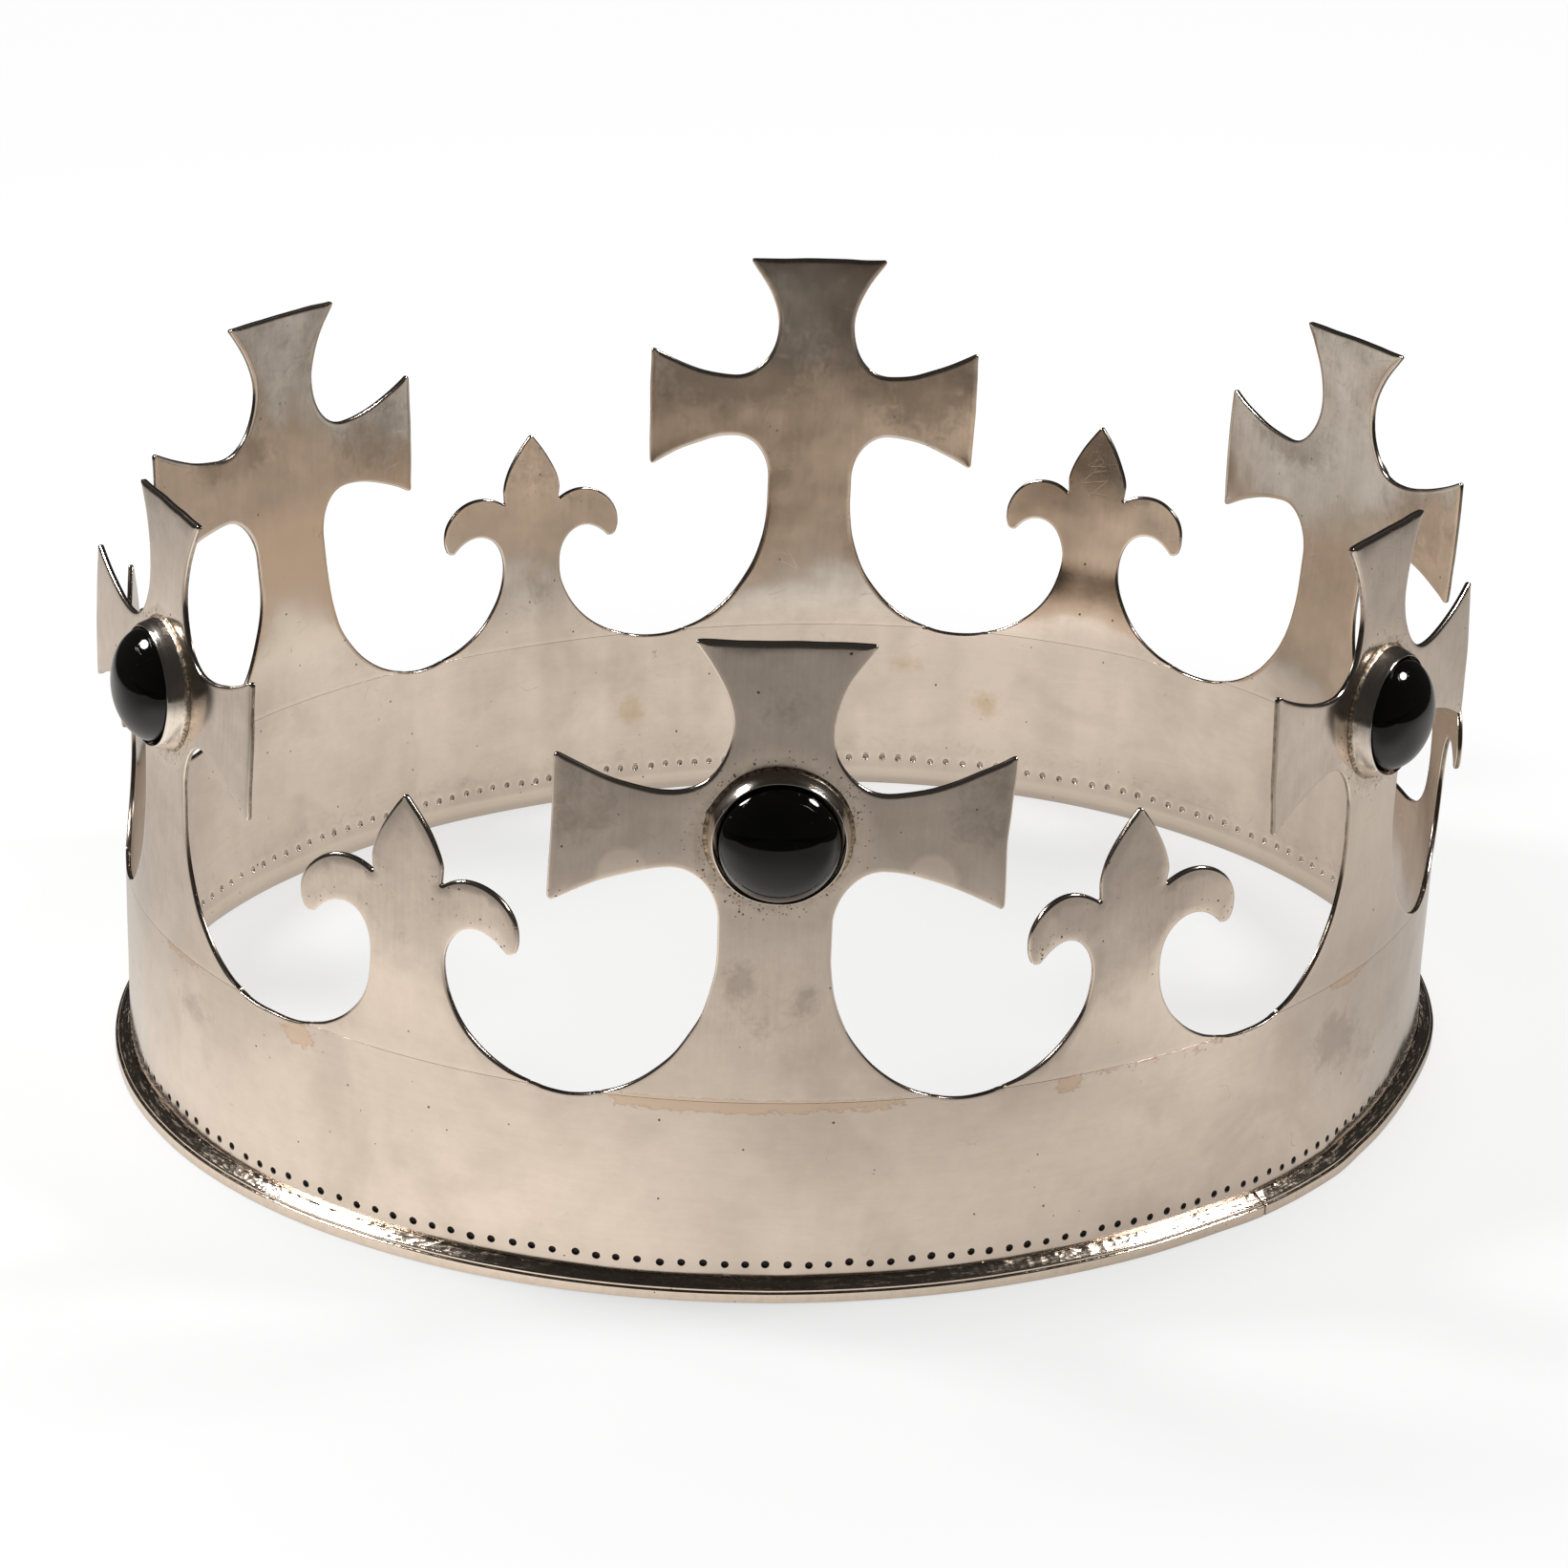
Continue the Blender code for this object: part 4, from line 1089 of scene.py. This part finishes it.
def silver(name, light, dark, rough, cloud_amount, settings=(), patches=()):
    """Polished, lightly tarnished sheet: brushed hairlines, clouds, pits, stains, worn edges."""
    t = Tree(name)
    v, flat = t.attr("spot").outputs["Vector"], t.attr("sheet").outputs["Vector"]
    stain_at, grey_at, grime_at = t.split(t.attr("marks").outputs["Vector"])
    edge, cut = t.attr("edge").outputs["Fac"], t.attr("cut").outputs["Fac"]
    pale, dim = t.attr("pale").outputs["Fac"], t.attr("dim").outputs["Fac"]
    if settings:  # grime gathers round each collar
        grime_at = t.math("MAXIMUM", grime_at, t.ease(t.nearest(flat, settings), 9.8, 13.2, 0.85, 0.0))
    if patches:
        pale = t.math("MAXIMUM", pale, t.ease(t.nearest(flat, patches), 2.5, 3.4, 0.9, 0.0))

    cloud = t.ease(t.noise(v, 0.05, 3.0, 0.55, 0.5), 0.44, 0.66)
    mottle = t.noise(v, 0.3, 5.0, 0.65)
    # the band is brushed along, the finials up and down
    upright = t.ease(t.split(v)[2], 28.0, 42.0)
    brushed = t.blend(
        upright,
        t.noise(t.scaled(v, 0.1, 0.1, 1.1), 1.0, 4.0, 0.62),
        t.noise(t.scaled(v, 1.6, 1.6, 0.09), 1.0, 4.0, 0.62),
    )
    hair = t.blend(
        upright,
        t.noise(t.scaled(v, 0.5, 0.5, 4.4), 1.0, 2.0, 0.5),
        t.noise(t.scaled(v, 7.5, 7.5, 0.4), 1.0, 2.0, 0.5),
    )
    shine = t.add(scratches(t, flat, 24.0, 9.0, 2.6, 0.04, 0.58), scratches(t, flat, 83.0, 12.0, 2.2, 0.03, 0.58))
    curl = t.nodes.new("ShaderNodeVectorMath")
    curl.operation = "MULTIPLY_ADD"
    bend = t.nodes.new("ShaderNodeTexNoise")
    t.feed(bend.inputs["Vector"], flat)
    bend.inputs["Scale"].default_value = 0.16
    t.feed(curl.inputs[0], bend.outputs["Color"])
    curl.inputs[1].default_value = (14.0, 14.0, 0.0)
    t.feed(curl.inputs[2], flat)
    nick = scratches(t, curl.outputs[0], 12.0, 7.0, 5.0, 0.05, 0.6)
    nick = t.mul(nick, t.ease(t.noise(v, 0.45, 2.0), 0.52, 0.6))
    worn = t.ease(t.add(edge, t.mul(t.noise(v, 0.9, 2.0), 0.9)), 0.55, 1.45, 1.0, 0.0)

    # grey clouds of tarnish; on the inner side the sheet also greys towards the top, and a band above the hoop's
    # holes is painted shade
    grey = t.mul(t.ease(t.add(grey_at, t.mul(t.add(t.noise(v, 0.42, 5.0, 0.7, 0.6), -0.5), 1.3)), 0.22, 0.75), 0.75)
    tone = t.mul(cloud, cloud_amount)
    tone = t.add(tone, t.mul(t.add(mottle, -0.5), t.blend(upright, 0.3, 0.6)))
    tone = t.add(tone, t.mul(t.add(t.noise(v, 0.13, 4.0, 0.6, 0.3), -0.5), t.blend(upright, 0.25, 0.45)))
    tone = t.add(tone, t.mul(t.add(brushed, -0.5), t.blend(upright, 0.14, 0.28)))
    tone = t.add(tone, t.mul(t.add(hair, -0.5), t.blend(upright, 0.07, 0.15)))
    inside = t.ease(t.split(v)[0], 240.0, 260.0)
    streak = t.noise(t.scaled(v, 0.13, 0.13, 0.006), 1.0, 2.0, 0.5)
    tone = t.add(tone, t.mul(t.mul(t.add(streak, -0.5), inside), 0.55))
    tone = t.add(tone, t.mul(grey, 0.6))
    tone = t.add(tone, t.mul(dim, 0.3))
    tone = t.math("ADD", tone, 0.12, True)
    colour = t.mix(tone, light, dark)
    colour = t.mix(t.ease(dim, 0.0, 0.2), colour, (0.96, 1.02, 1.05), "MULTIPLY")
    # pale patches, and round each collar a painted reflection
    colour = t.mix(t.mul(pale, 0.85), colour, (0.9, 0.77, 0.65))

    # fine pits and black specks, thick round the solder of the collar
    dots = t.voronoi(v, 1.6)
    size = t.mul(t.split(dots.outputs["Color"])[0], 0.3)
    speck = t.ease(t.math("SUBTRACT", dots.outputs["Distance"], size), -0.03, 0.08, 1.0, 0.0)
    patchy = t.ease(t.noise(v, 0.5, 3.0, 0.6), 0.36, 0.62, 0.15, 1.0)
    chance = t.math(
        "LESS_THAN", t.split(dots.outputs["Color"])[1], t.add(0.01, t.mul(t.mul(grime_at, patchy), 0.8))
    )
    grit = t.voronoi(v, 2.3)
    grain = t.mul(
        t.ease(grit.outputs["Distance"], 0.16, 0.36, 1.0, 0.0),
        t.math("LESS_THAN", t.split(grit.outputs["Color"])[0], t.mul(t.mul(grime_at, patchy), 0.7)),
    )
    pits = t.math("MAXIMUM", t.mul(speck, chance), t.mul(grain, 0.8))
    dirt = t.mul(t.ease(t.add(grime_at, t.mul(t.add(t.noise(v, 0.8, 5.0, 0.7), -0.5), 1.1)), 0.5, 1.15), 0.4)
    colour = t.mix(dirt, colour, (0.3, 0.225, 0.165))

    # brown tide lines along the solder seam
    ragged = t.noise(t.scaled(v, 0.45, 0.45, 0.9), 1.0, 5.0, 0.7, 0.8)
    soak = t.add(stain_at, t.mul(t.add(ragged, -0.5), 1.5))
    stain = t.ease(soak, 0.42, 0.5)
    tide = t.mul(t.ease(soak, 0.41, 0.47), t.ease(soak, 0.49, 0.58, 1.0, 0.0))
    colour = t.mix(t.mul(stain, 0.6), colour, (0.7, 0.5, 0.345))
    colour = t.mix(t.mul(tide, 0.28), colour, (0.36, 0.22, 0.13))

    # a lighter border along the edges: partly wear, partly a painted highlight of the filed bevel
    colour = t.mix(t.mul(worn, 0.35), colour, (0.86, 0.735, 0.62))
    colour = t.mix(t.mul(shine, 0.14), colour, (0.88, 0.78, 0.68))
    colour = t.mix(t.mul(nick, 0.5), colour, (0.2, 0.15, 0.11))
    colour = t.mix(t.mul(pits, 0.85), colour, (0.08, 0.055, 0.04))
    # the sawn edge has gone dark; the bright line along its arrises is partly rubbed metal and partly painted
    # highlight
    sawn = t.mul(t.ease(cut, 0.45, 0.85), t.ease(t.noise(v, 0.7, 4.0, 0.65), 0.3, 0.62, 0.95, 0.6))
    arris_rub_and_highlight = t.mul(t.ease(cut, 0.05, 0.35), t.ease(cut, 0.45, 0.7, 1.0, 0.0))
    colour = t.mix(t.mul(arris_rub_and_highlight, 0.7), colour, (0.92, 0.81, 0.7))
    colour = t.mix(sawn, colour, (0.2, 0.155, 0.12))
    t.feed(t.shader.inputs["Base Color"], colour)
    t.shader.inputs["Metallic"].default_value = 1.0

    r = t.add(rough, t.mul(tone, 0.08))
    r = t.add(r, t.mul(t.add(hair, -0.5), 0.06))
    r = t.add(r, t.mul(stain, 0.12))
    r = t.add(r, t.mul(dirt, 0.2))
    r = t.add(r, t.mul(shine, 0.05))
    r = t.add(r, t.mul(sawn, 0.1))
    r = t.add(r, t.ease(dim, 0.0, 0.2, 0.0, -0.035))
    r = t.math("MAXIMUM", r, 0.07)
    t.feed(t.shader.inputs["Roughness"], r)

    height = t.add(t.mul(brushed, 0.16), t.mul(hair, 0.1))
    height = t.add(height, t.mul(t.add(shine, nick), -0.3))
    height = t.add(height, t.mul(pits, -1.0))
    height = t.add(height, t.mul(dirt, 0.25))
    fine = t.bump(height, 0.00001)
    wavy = t.bump(t.noise(v, 0.1, 1.0, 0.4), 0.00014, 1.0, fine)
    t.feed(t.shader.inputs["Normal"], wavy)
    return t


def stained_inside(t):
    """The same with yellow water stains, for the hoop's inner wall."""
    warm_at = t.attr("warm").outputs["Fac"]
    v = t.attr("spot").outputs["Vector"]
    wet = t.ease(t.add(warm_at, t.mul(t.add(t.noise(v, 0.5, 4.0, 0.65), -0.5), 0.9)), 0.28, 0.9)
    socket = t.shader.inputs["Base Color"]
    before = socket.links[0].from_socket
    colour = t.mix(t.mul(wet, 0.5), before, (0.52, 0.37, 0.17))
    # the holes' dark, dull webs: painted shade for the dark seen through them
    soot = t.attr("soot").outputs["Fac"]
    t.feed(socket, t.mix(soot, colour, (0.016, 0.013, 0.01)))
    gloss = t.shader.inputs["Roughness"]
    t.feed(gloss, t.add(gloss.links[0].from_socket, t.mul(soot, 0.5)))
    t.feed(t.shader.inputs["Metallic"], t.math("SUBTRACT", 1.0, soot))
    return t


def moulding(name):
    t = Tree(name)
    v = t.attr("spot").outputs["Vector"]
    dark_at, split, solder = t.split(t.attr("marks").outputs["Vector"])
    mottle = t.noise(v, 0.8, 5.0, 0.65)
    drawn = t.noise(t.scaled(v, 0.12, 0.12, 6.0), 1.0, 3.0, 0.6)
    beat = t.voronoi(t.scaled(v, 0.9, 0.9, 1.5), 1.0).outputs["Distance"]
    tone = t.math("ADD", t.mul(t.add(mottle, -0.5), 0.9), t.mul(t.add(drawn, -0.35), 0.5), True)
    colour = t.mix(tone, (0.8, 0.68, 0.57), (0.5, 0.41, 0.33))
    # grime follows the section's dirty column; at the foot's lower edge that darkening is painted shade
    grime = t.ease(t.add(dark_at, t.mul(t.add(t.noise(v, 1.6, 4.0, 0.7), -0.5), 1.2)), 0.4, 0.95)
    crust = t.mul(grime, t.ease(t.noise(t.scaled(v, 0.3, 0.3, 2.4), 1.0, 4.0, 0.68), 0.5, 0.66, 0.0, 0.8))
    colour = t.mix(t.mul(grime, 0.45), colour, (0.3, 0.225, 0.155))
    colour = t.mix(crust, colour, (0.14, 0.1, 0.07))
    colour = t.mix(t.mul(solder, 0.3), colour, (0.46, 0.35, 0.24))
    colour = t.mix(split, colour, (0.05, 0.035, 0.025))
    specks = t.voronoi(v, 1.4)
    speck = t.mul(
        t.ease(specks.outputs["Distance"], 0.1, 0.2, 1.0, 0.0),
        t.math("LESS_THAN", t.split(specks.outputs["Color"])[0], 0.05),
    )
    colour = t.mix(t.mul(speck, 0.8), colour, (0.1, 0.07, 0.05))
    t.feed(t.shader.inputs["Base Color"], colour)
    t.feed(t.shader.inputs["Metallic"], t.ease(crust, 0.0, 1.0, 1.0, 0.3))
    r = t.add(0.12, t.mul(tone, 0.08))
    r = t.add(r, t.mul(crust, 0.3))
    t.feed(t.shader.inputs["Roughness"], r)
    height = t.add(t.mul(t.mul(beat, dark_at), 1.0), t.mul(drawn, 0.12))
    height = t.add(height, t.mul(speck, -0.4))
    t.feed(t.shader.inputs["Normal"], t.bump(height, 0.00005))
    return t


def collar_silver(name):
    t = Tree(name)
    v = t.attr("sheet").outputs["Vector"]
    solder_at = t.split(t.attr("marks").outputs["Vector"])[0]
    lip = t.attr("edge").outputs["Fac"]
    drawn = t.noise(t.scaled(v, 0.25, 0.25, 5.0), 1.0, 3.0, 0.6)
    mottle = t.noise(v, 0.9, 5.0, 0.65)
    tone = t.math("ADD", t.mul(t.add(mottle, -0.5), 1.0), t.mul(t.add(drawn, -0.3), 0.5), True)
    colour = t.mix(tone, (0.84, 0.75, 0.66), (0.46, 0.39, 0.33))
    bright = t.ease(lip, 0.1, 0.7, 1.0, 0.0)
    colour = t.mix(t.mul(bright, 0.7), colour, (0.88, 0.82, 0.74))
    rough_solder = t.ease(t.add(solder_at, t.mul(t.add(t.noise(v, 1.7, 4.0, 0.7), -0.5), 0.9)), 0.3, 0.9)
    brass = t.mix(t.ease(t.noise(v, 2.4, 4.0, 0.7), 0.4, 0.58), (0.6, 0.45, 0.28), (0.09, 0.065, 0.045))
    colour = t.mix(t.mul(rough_solder, 0.85), colour, brass)
    t.feed(t.shader.inputs["Base Color"], colour)
    t.shader.inputs["Metallic"].default_value = 1.0
    r = t.add(0.17, t.mul(tone, 0.1))
    r = t.add(r, t.mul(rough_solder, 0.25))
    r = t.add(r, t.mul(bright, -0.05))
    t.feed(t.shader.inputs["Roughness"], r)
    height = t.add(t.mul(drawn, 0.3), t.mul(t.mul(t.noise(v, 3.0, 3.0), rough_solder), 1.0))
    t.feed(t.shader.inputs["Normal"], t.bump(height, 0.00006))
    return t


def black_stone(name):
    t = Tree(name)
    v = t.attr("sheet").outputs["Vector"]
    veil = t.noise(v, 0.35, 4.0, 0.6)
    colour = t.mix(veil, (0.0016, 0.0014, 0.0012), (0.004, 0.0036, 0.0032))
    dust = t.voronoi(v, 2.2)
    fleck = t.mul(
        t.ease(dust.outputs["Distance"], 0.05, 0.14, 1.0, 0.0),
        t.math("LESS_THAN", t.split(dust.outputs["Color"])[0], 0.025),
    )
    colour = t.mix(t.mul(fleck, 0.5), colour, (0.12, 0.115, 0.11))
    t.feed(t.shader.inputs["Base Color"], colour)
    fine = scratches(t, v, 31.0, 6.0, 2.4, 0.03, 0.5)
    r = t.add(0.03, t.mul(veil, 0.03))
    r = t.add(r, t.mul(fine, 0.12))
    t.feed(t.shader.inputs["Roughness"], r)
    t.shader.inputs["IOR"].default_value = 1.54
    t.feed(t.shader.inputs["Normal"], t.bump(t.mul(fine, -1.0), 0.000004))
    return t


def ledge_silver(name):
    """Plain wire under the stones, on the CAD's own pieces."""
    t = Tree(name)
    coords = t.nodes.new("ShaderNodeTexCoord").outputs["Object"]
    mottle = t.noise(coords, 700.0, 4.0, 0.6)
    t.feed(t.shader.inputs["Base Color"], t.mix(mottle, (0.4, 0.33, 0.26), (0.2, 0.16, 0.12)))
    t.shader.inputs["Metallic"].default_value = 1.0
    t.feed(t.shader.inputs["Roughness"], t.add(0.3, t.mul(mottle, 0.2)))
    return t


# ---------------------------------------------------------------- make the pieces
LIGHT, DARK = (0.79, 0.678, 0.585), (0.43, 0.355, 0.295)
band_look = stained_inside(silver("band_silver", LIGHT, DARK, 0.12, 0.24)).mat
settings = [
    (around(turned(CROSS_AZ[k], CROSS_SHIFT[k])) * PER_DEG, STONE_Z) for k in range(len(CROSS_AZ))
]
patches = [(around(turned(CROSS_AZ[0], CROSS_SHIFT[0] + s)) * PER_DEG, 63.4) for s in (-19.4, 19.4)]
cross_look = silver("cross_silver", LIGHT, DARK, 0.12, 0.24, settings, patches).mat
fleur_look = silver("fleur_silver", LIGHT, DARK, 0.12, 0.2).mat
rim_look = moulding("moulding_silver").mat
collar_look = collar_silver("collar_silver").mat
stone_look = black_stone("stone_black").mat
ledge_look = ledge_silver("ledge_silver").mat

piece("crown_hoop", hoop_mesh(), band_look, "hoop")
piece("crown_rim_moulding", rim_mesh(), rim_look, "rim_moulding")

cross_plate = Plate(round_corners(whole(cross_half(), []), 0.8), 1.7)
fleur_plate = Plate(round_corners(whole(fleur_half(), [(0.0, FLEUR_TOP)]), 0.55), 1.4)


def filed(plate, rho):
    """Radius of the filed edge: next to nothing along the foot, where the sheet is soldered."""
    z = plate.loop[:, 1]
    return np.where(z < FOOT_Z + 0.05, 0.02, rho)


for k in range(6):
    mesh = cross_plate.mesh(
        f"crown_cross_{k + 1}",
        lambda s, z, out, k=k: on_cross(k, s, z, out),
        filed(cross_plate, 0.3),
        filed(cross_plate, 0.2),
        cross_marks(k),
    )
    piece(f"crown_cross_{k + 1}", mesh, cross_look, f"cross_{k + 1}")
    mesh = fleur_plate.mesh(
        f"crown_fleur_{k + 1}",
        lambda s, z, out, k=k: on_fleur(k, s, z, out),
        filed(fleur_plate, 0.28),
        filed(fleur_plate, 0.2),
        fleur_marks(k),
    )
    piece(f"crown_fleur_{k + 1}", mesh, fleur_look, f"fleur_{k + 1}")
    piece(f"crown_collar_{k + 1}", collar_mesh(k), collar_look, f"bezel_{k + 1}")
    piece(f"crown_stone_{k + 1}", stone_mesh(k), stone_look, f"stone_{k + 1}")
    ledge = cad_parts[f"bearing_{k + 1}"]
    ledge.data.materials.clear()
    ledge.data.materials.append(ledge_look)

# ---------------------------------------------------------------- floor, light, camera
scene = bpy.context.scene


def sheet_object(name, corners, colour, rough):
    mesh = bpy.data.meshes.new(name)
    mesh.from_pydata(corners, [], [(0, 1, 2, 3)])
    mat = bpy.data.materials.new(name)
    mat.use_nodes = True
    shader = mat.node_tree.nodes["Principled BSDF"]
    shader.inputs["Base Color"].default_value = (*colour, 1.0)
    shader.inputs["Roughness"].default_value = rough
    shader.inputs["Specular IOR Level"].default_value = 0.0
    mesh.materials.append(mat)
    obj = bpy.data.objects.new(name, mesh)
    scene.collection.objects.link(obj)
    return obj


floor = sheet_object("floor", [(-6, -6, 0), (6, -6, 0), (6, 6, 0), (-6, 6, 0)], (0.2, 0.2, 0.2), 0.9)

# The polished metal mirrors the floor, so the floor carries painted pools of light round the crown for mirrored rays,
# one of them a painted shadow; seen straight on it is a pale sheet, with painted shade inside the hoop
# and in occluded corners, that takes soft shadows.
POOLS = (  # middle, spread (mm) and strength
    (-100, -75, 105, 100, 0.6),
    (-45, -105, 35, 35, 0.18),
    (14, -148, 63, 60, 0.2),
    (85, -80, 106, 36, 0.5),
    # a negative pool: a painted shadow on the floor at the front right
    (46, -70, 52, 25, -0.35),
    (-248, 87, 119, 99, 0.44),
    (250, 10, 130, 120, 0.34),
    (-5, 50, 85, 60, 0.35),
    (60, 40, 70, 50, 0.2),
    (0, -35, 90, 35, 0.4),
    (-125, -140, 60, 45, 0.14),
    (0, 200, 230, 75, 0.4),
)
shade = Tree("floor", floor.data.materials[0])
ground = shade.mat.node_tree
x, y, _ = shade.split(ground.nodes.new("ShaderNodeNewGeometry").outputs["Position"])
glow = 0.31
for cx, cy, sx, sy, amount in POOLS:
    dx = shade.mul(shade.add(x, -cx * MM), 1.0 / (sx * MM))
    dy = shade.mul(shade.add(y, -cy * MM), 1.0 / (sy * MM))
    fall = shade.math("EXPONENT", shade.mul(shade.add(shade.mul(dx, dx), shade.mul(dy, dy)), -1.0))
    glow = shade.add(shade.mul(fall, amount), glow)
path = ground.nodes.new("ShaderNodeLightPath")
near = ground.nodes.new("ShaderNodeAmbientOcclusion")
near.samples = 6
near.inputs["Distance"].default_value = 0.012
mirrored, plain = ground.nodes.new("ShaderNodeEmission"), ground.nodes.new("ShaderNodeEmission")
glow = shade.mul(glow, shade.ease(y, -0.375, -0.335, 0.08, 1.0))
glow = shade.mul(glow, shade.ease(shade.math("ABSOLUTE", x), 0.39, 0.44, 1.0, 0.08))
# the mirrored glow is darkened where the crown occludes the floor: painted contact shade
shade.feed(mirrored.inputs["Strength"], shade.mul(glow, shade.ease(near.outputs["AO"], 0.0, 1.0, 0.45, 1.0)))
mirrored.inputs["Color"].default_value = (1.0, 0.965, 0.915, 1.0)
far = shade.math("SQRT", shade.add(shade.mul(x, x), shade.mul(y, y)))
# seen straight on, the glow is painted lower inside the hoop and in occluded corners: painted shade
glow_shaded_inside = shade.add(shade.ease(far, 0.085, 0.11, 0.68, 0.78), shade.ease(far, 0.1, 0.3, 0.0, 0.19))
shade.feed(plain.inputs["Strength"], shade.mul(glow_shaded_inside, shade.ease(near.outputs["AO"], 0.0, 0.7, 0.7, 1.0)))
pale, pick = ground.nodes.new("ShaderNodeAddShader"), ground.nodes.new("ShaderNodeMixShader")
shade.feed(pale.inputs[0], plain.outputs[0])
shade.feed(pale.inputs[1], ground.nodes["Principled BSDF"].outputs[0])
shade.feed(pick.inputs[0], path.outputs["Is Glossy Ray"])
shade.feed(pick.inputs[1], pale.outputs[0])
shade.feed(pick.inputs[2], mirrored.outputs[0])
shade.feed(ground.nodes["Material Output"].inputs["Surface"], pick.outputs[0])


def softbox(name, place, aim, size, power, colour=(1.0, 1.0, 1.0)):
    light = bpy.data.lights.new(name, "AREA")
    light.shape = "DISK"
    light.size = size
    light.energy = power
    light.color = colour
    obj = bpy.data.objects.new(name, light)
    scene.collection.objects.link(obj)
    obj.location = place
    obj.visible_camera = False
    obj.rotation_euler = (Vector(aim) - Vector(place)).to_track_quat("-Z", "Y").to_euler()
    return obj


softbox("softbox_left", (-0.225, -0.005, 0.262), (0.0, -0.02, 0.03), 0.09, 0.9)
softbox("softbox_right", (0.375, 0.0, 0.415), (0.0, -0.02, 0.03), 0.13, 1.7)

world = bpy.data.worlds.new("studio")
scene.world = world
world.use_nodes = True
tree = world.node_tree
seen = tree.nodes.new("ShaderNodeLightPath")
mix = tree.nodes.new("ShaderNodeMixShader")
room, wall_behind = tree.nodes["Background"], tree.nodes.new("ShaderNodeBackground")
room.inputs["Color"].default_value = (0.03, 0.029, 0.028, 1.0)
wall_behind.inputs["Color"].default_value = (1.0, 1.0, 1.0, 1.0)
tree.links.new(seen.outputs["Is Camera Ray"], mix.inputs[0])
tree.links.new(room.outputs[0], mix.inputs[1])
tree.links.new(wall_behind.outputs[0], mix.inputs[2])
tree.links.new(mix.outputs[0], tree.nodes["World Output"].inputs["Surface"])

YAW, PITCH, ROLL = -0.0026083, 0.3876701, 0.0322835
forward = Vector((math.sin(YAW) * math.cos(PITCH), math.cos(YAW) * math.cos(PITCH), -math.sin(PITCH)))
right = Vector((math.cos(YAW), -math.sin(YAW), 0.0))
above = right.cross(forward)
right, above = (
    right * math.cos(ROLL) + above * math.sin(ROLL),
    above * math.cos(ROLL) - right * math.sin(ROLL),
)
camera = bpy.data.cameras.new("camera")
camera.sensor_width = 36.0
camera.lens = 36.0 * 3832.2656 / 1642.0
camera.clip_start = 0.01
eye = bpy.data.objects.new("camera", camera)
scene.collection.objects.link(eye)
eye.matrix_world = Matrix.Translation(at(Vector((0.0, -518.672, 248.229)))) @ Matrix(
    (right, above, -forward)
).transposed().to_4x4()
scene.camera = eye
scene.view_settings.view_transform = "Standard"

bpy.context.view_layer.update()
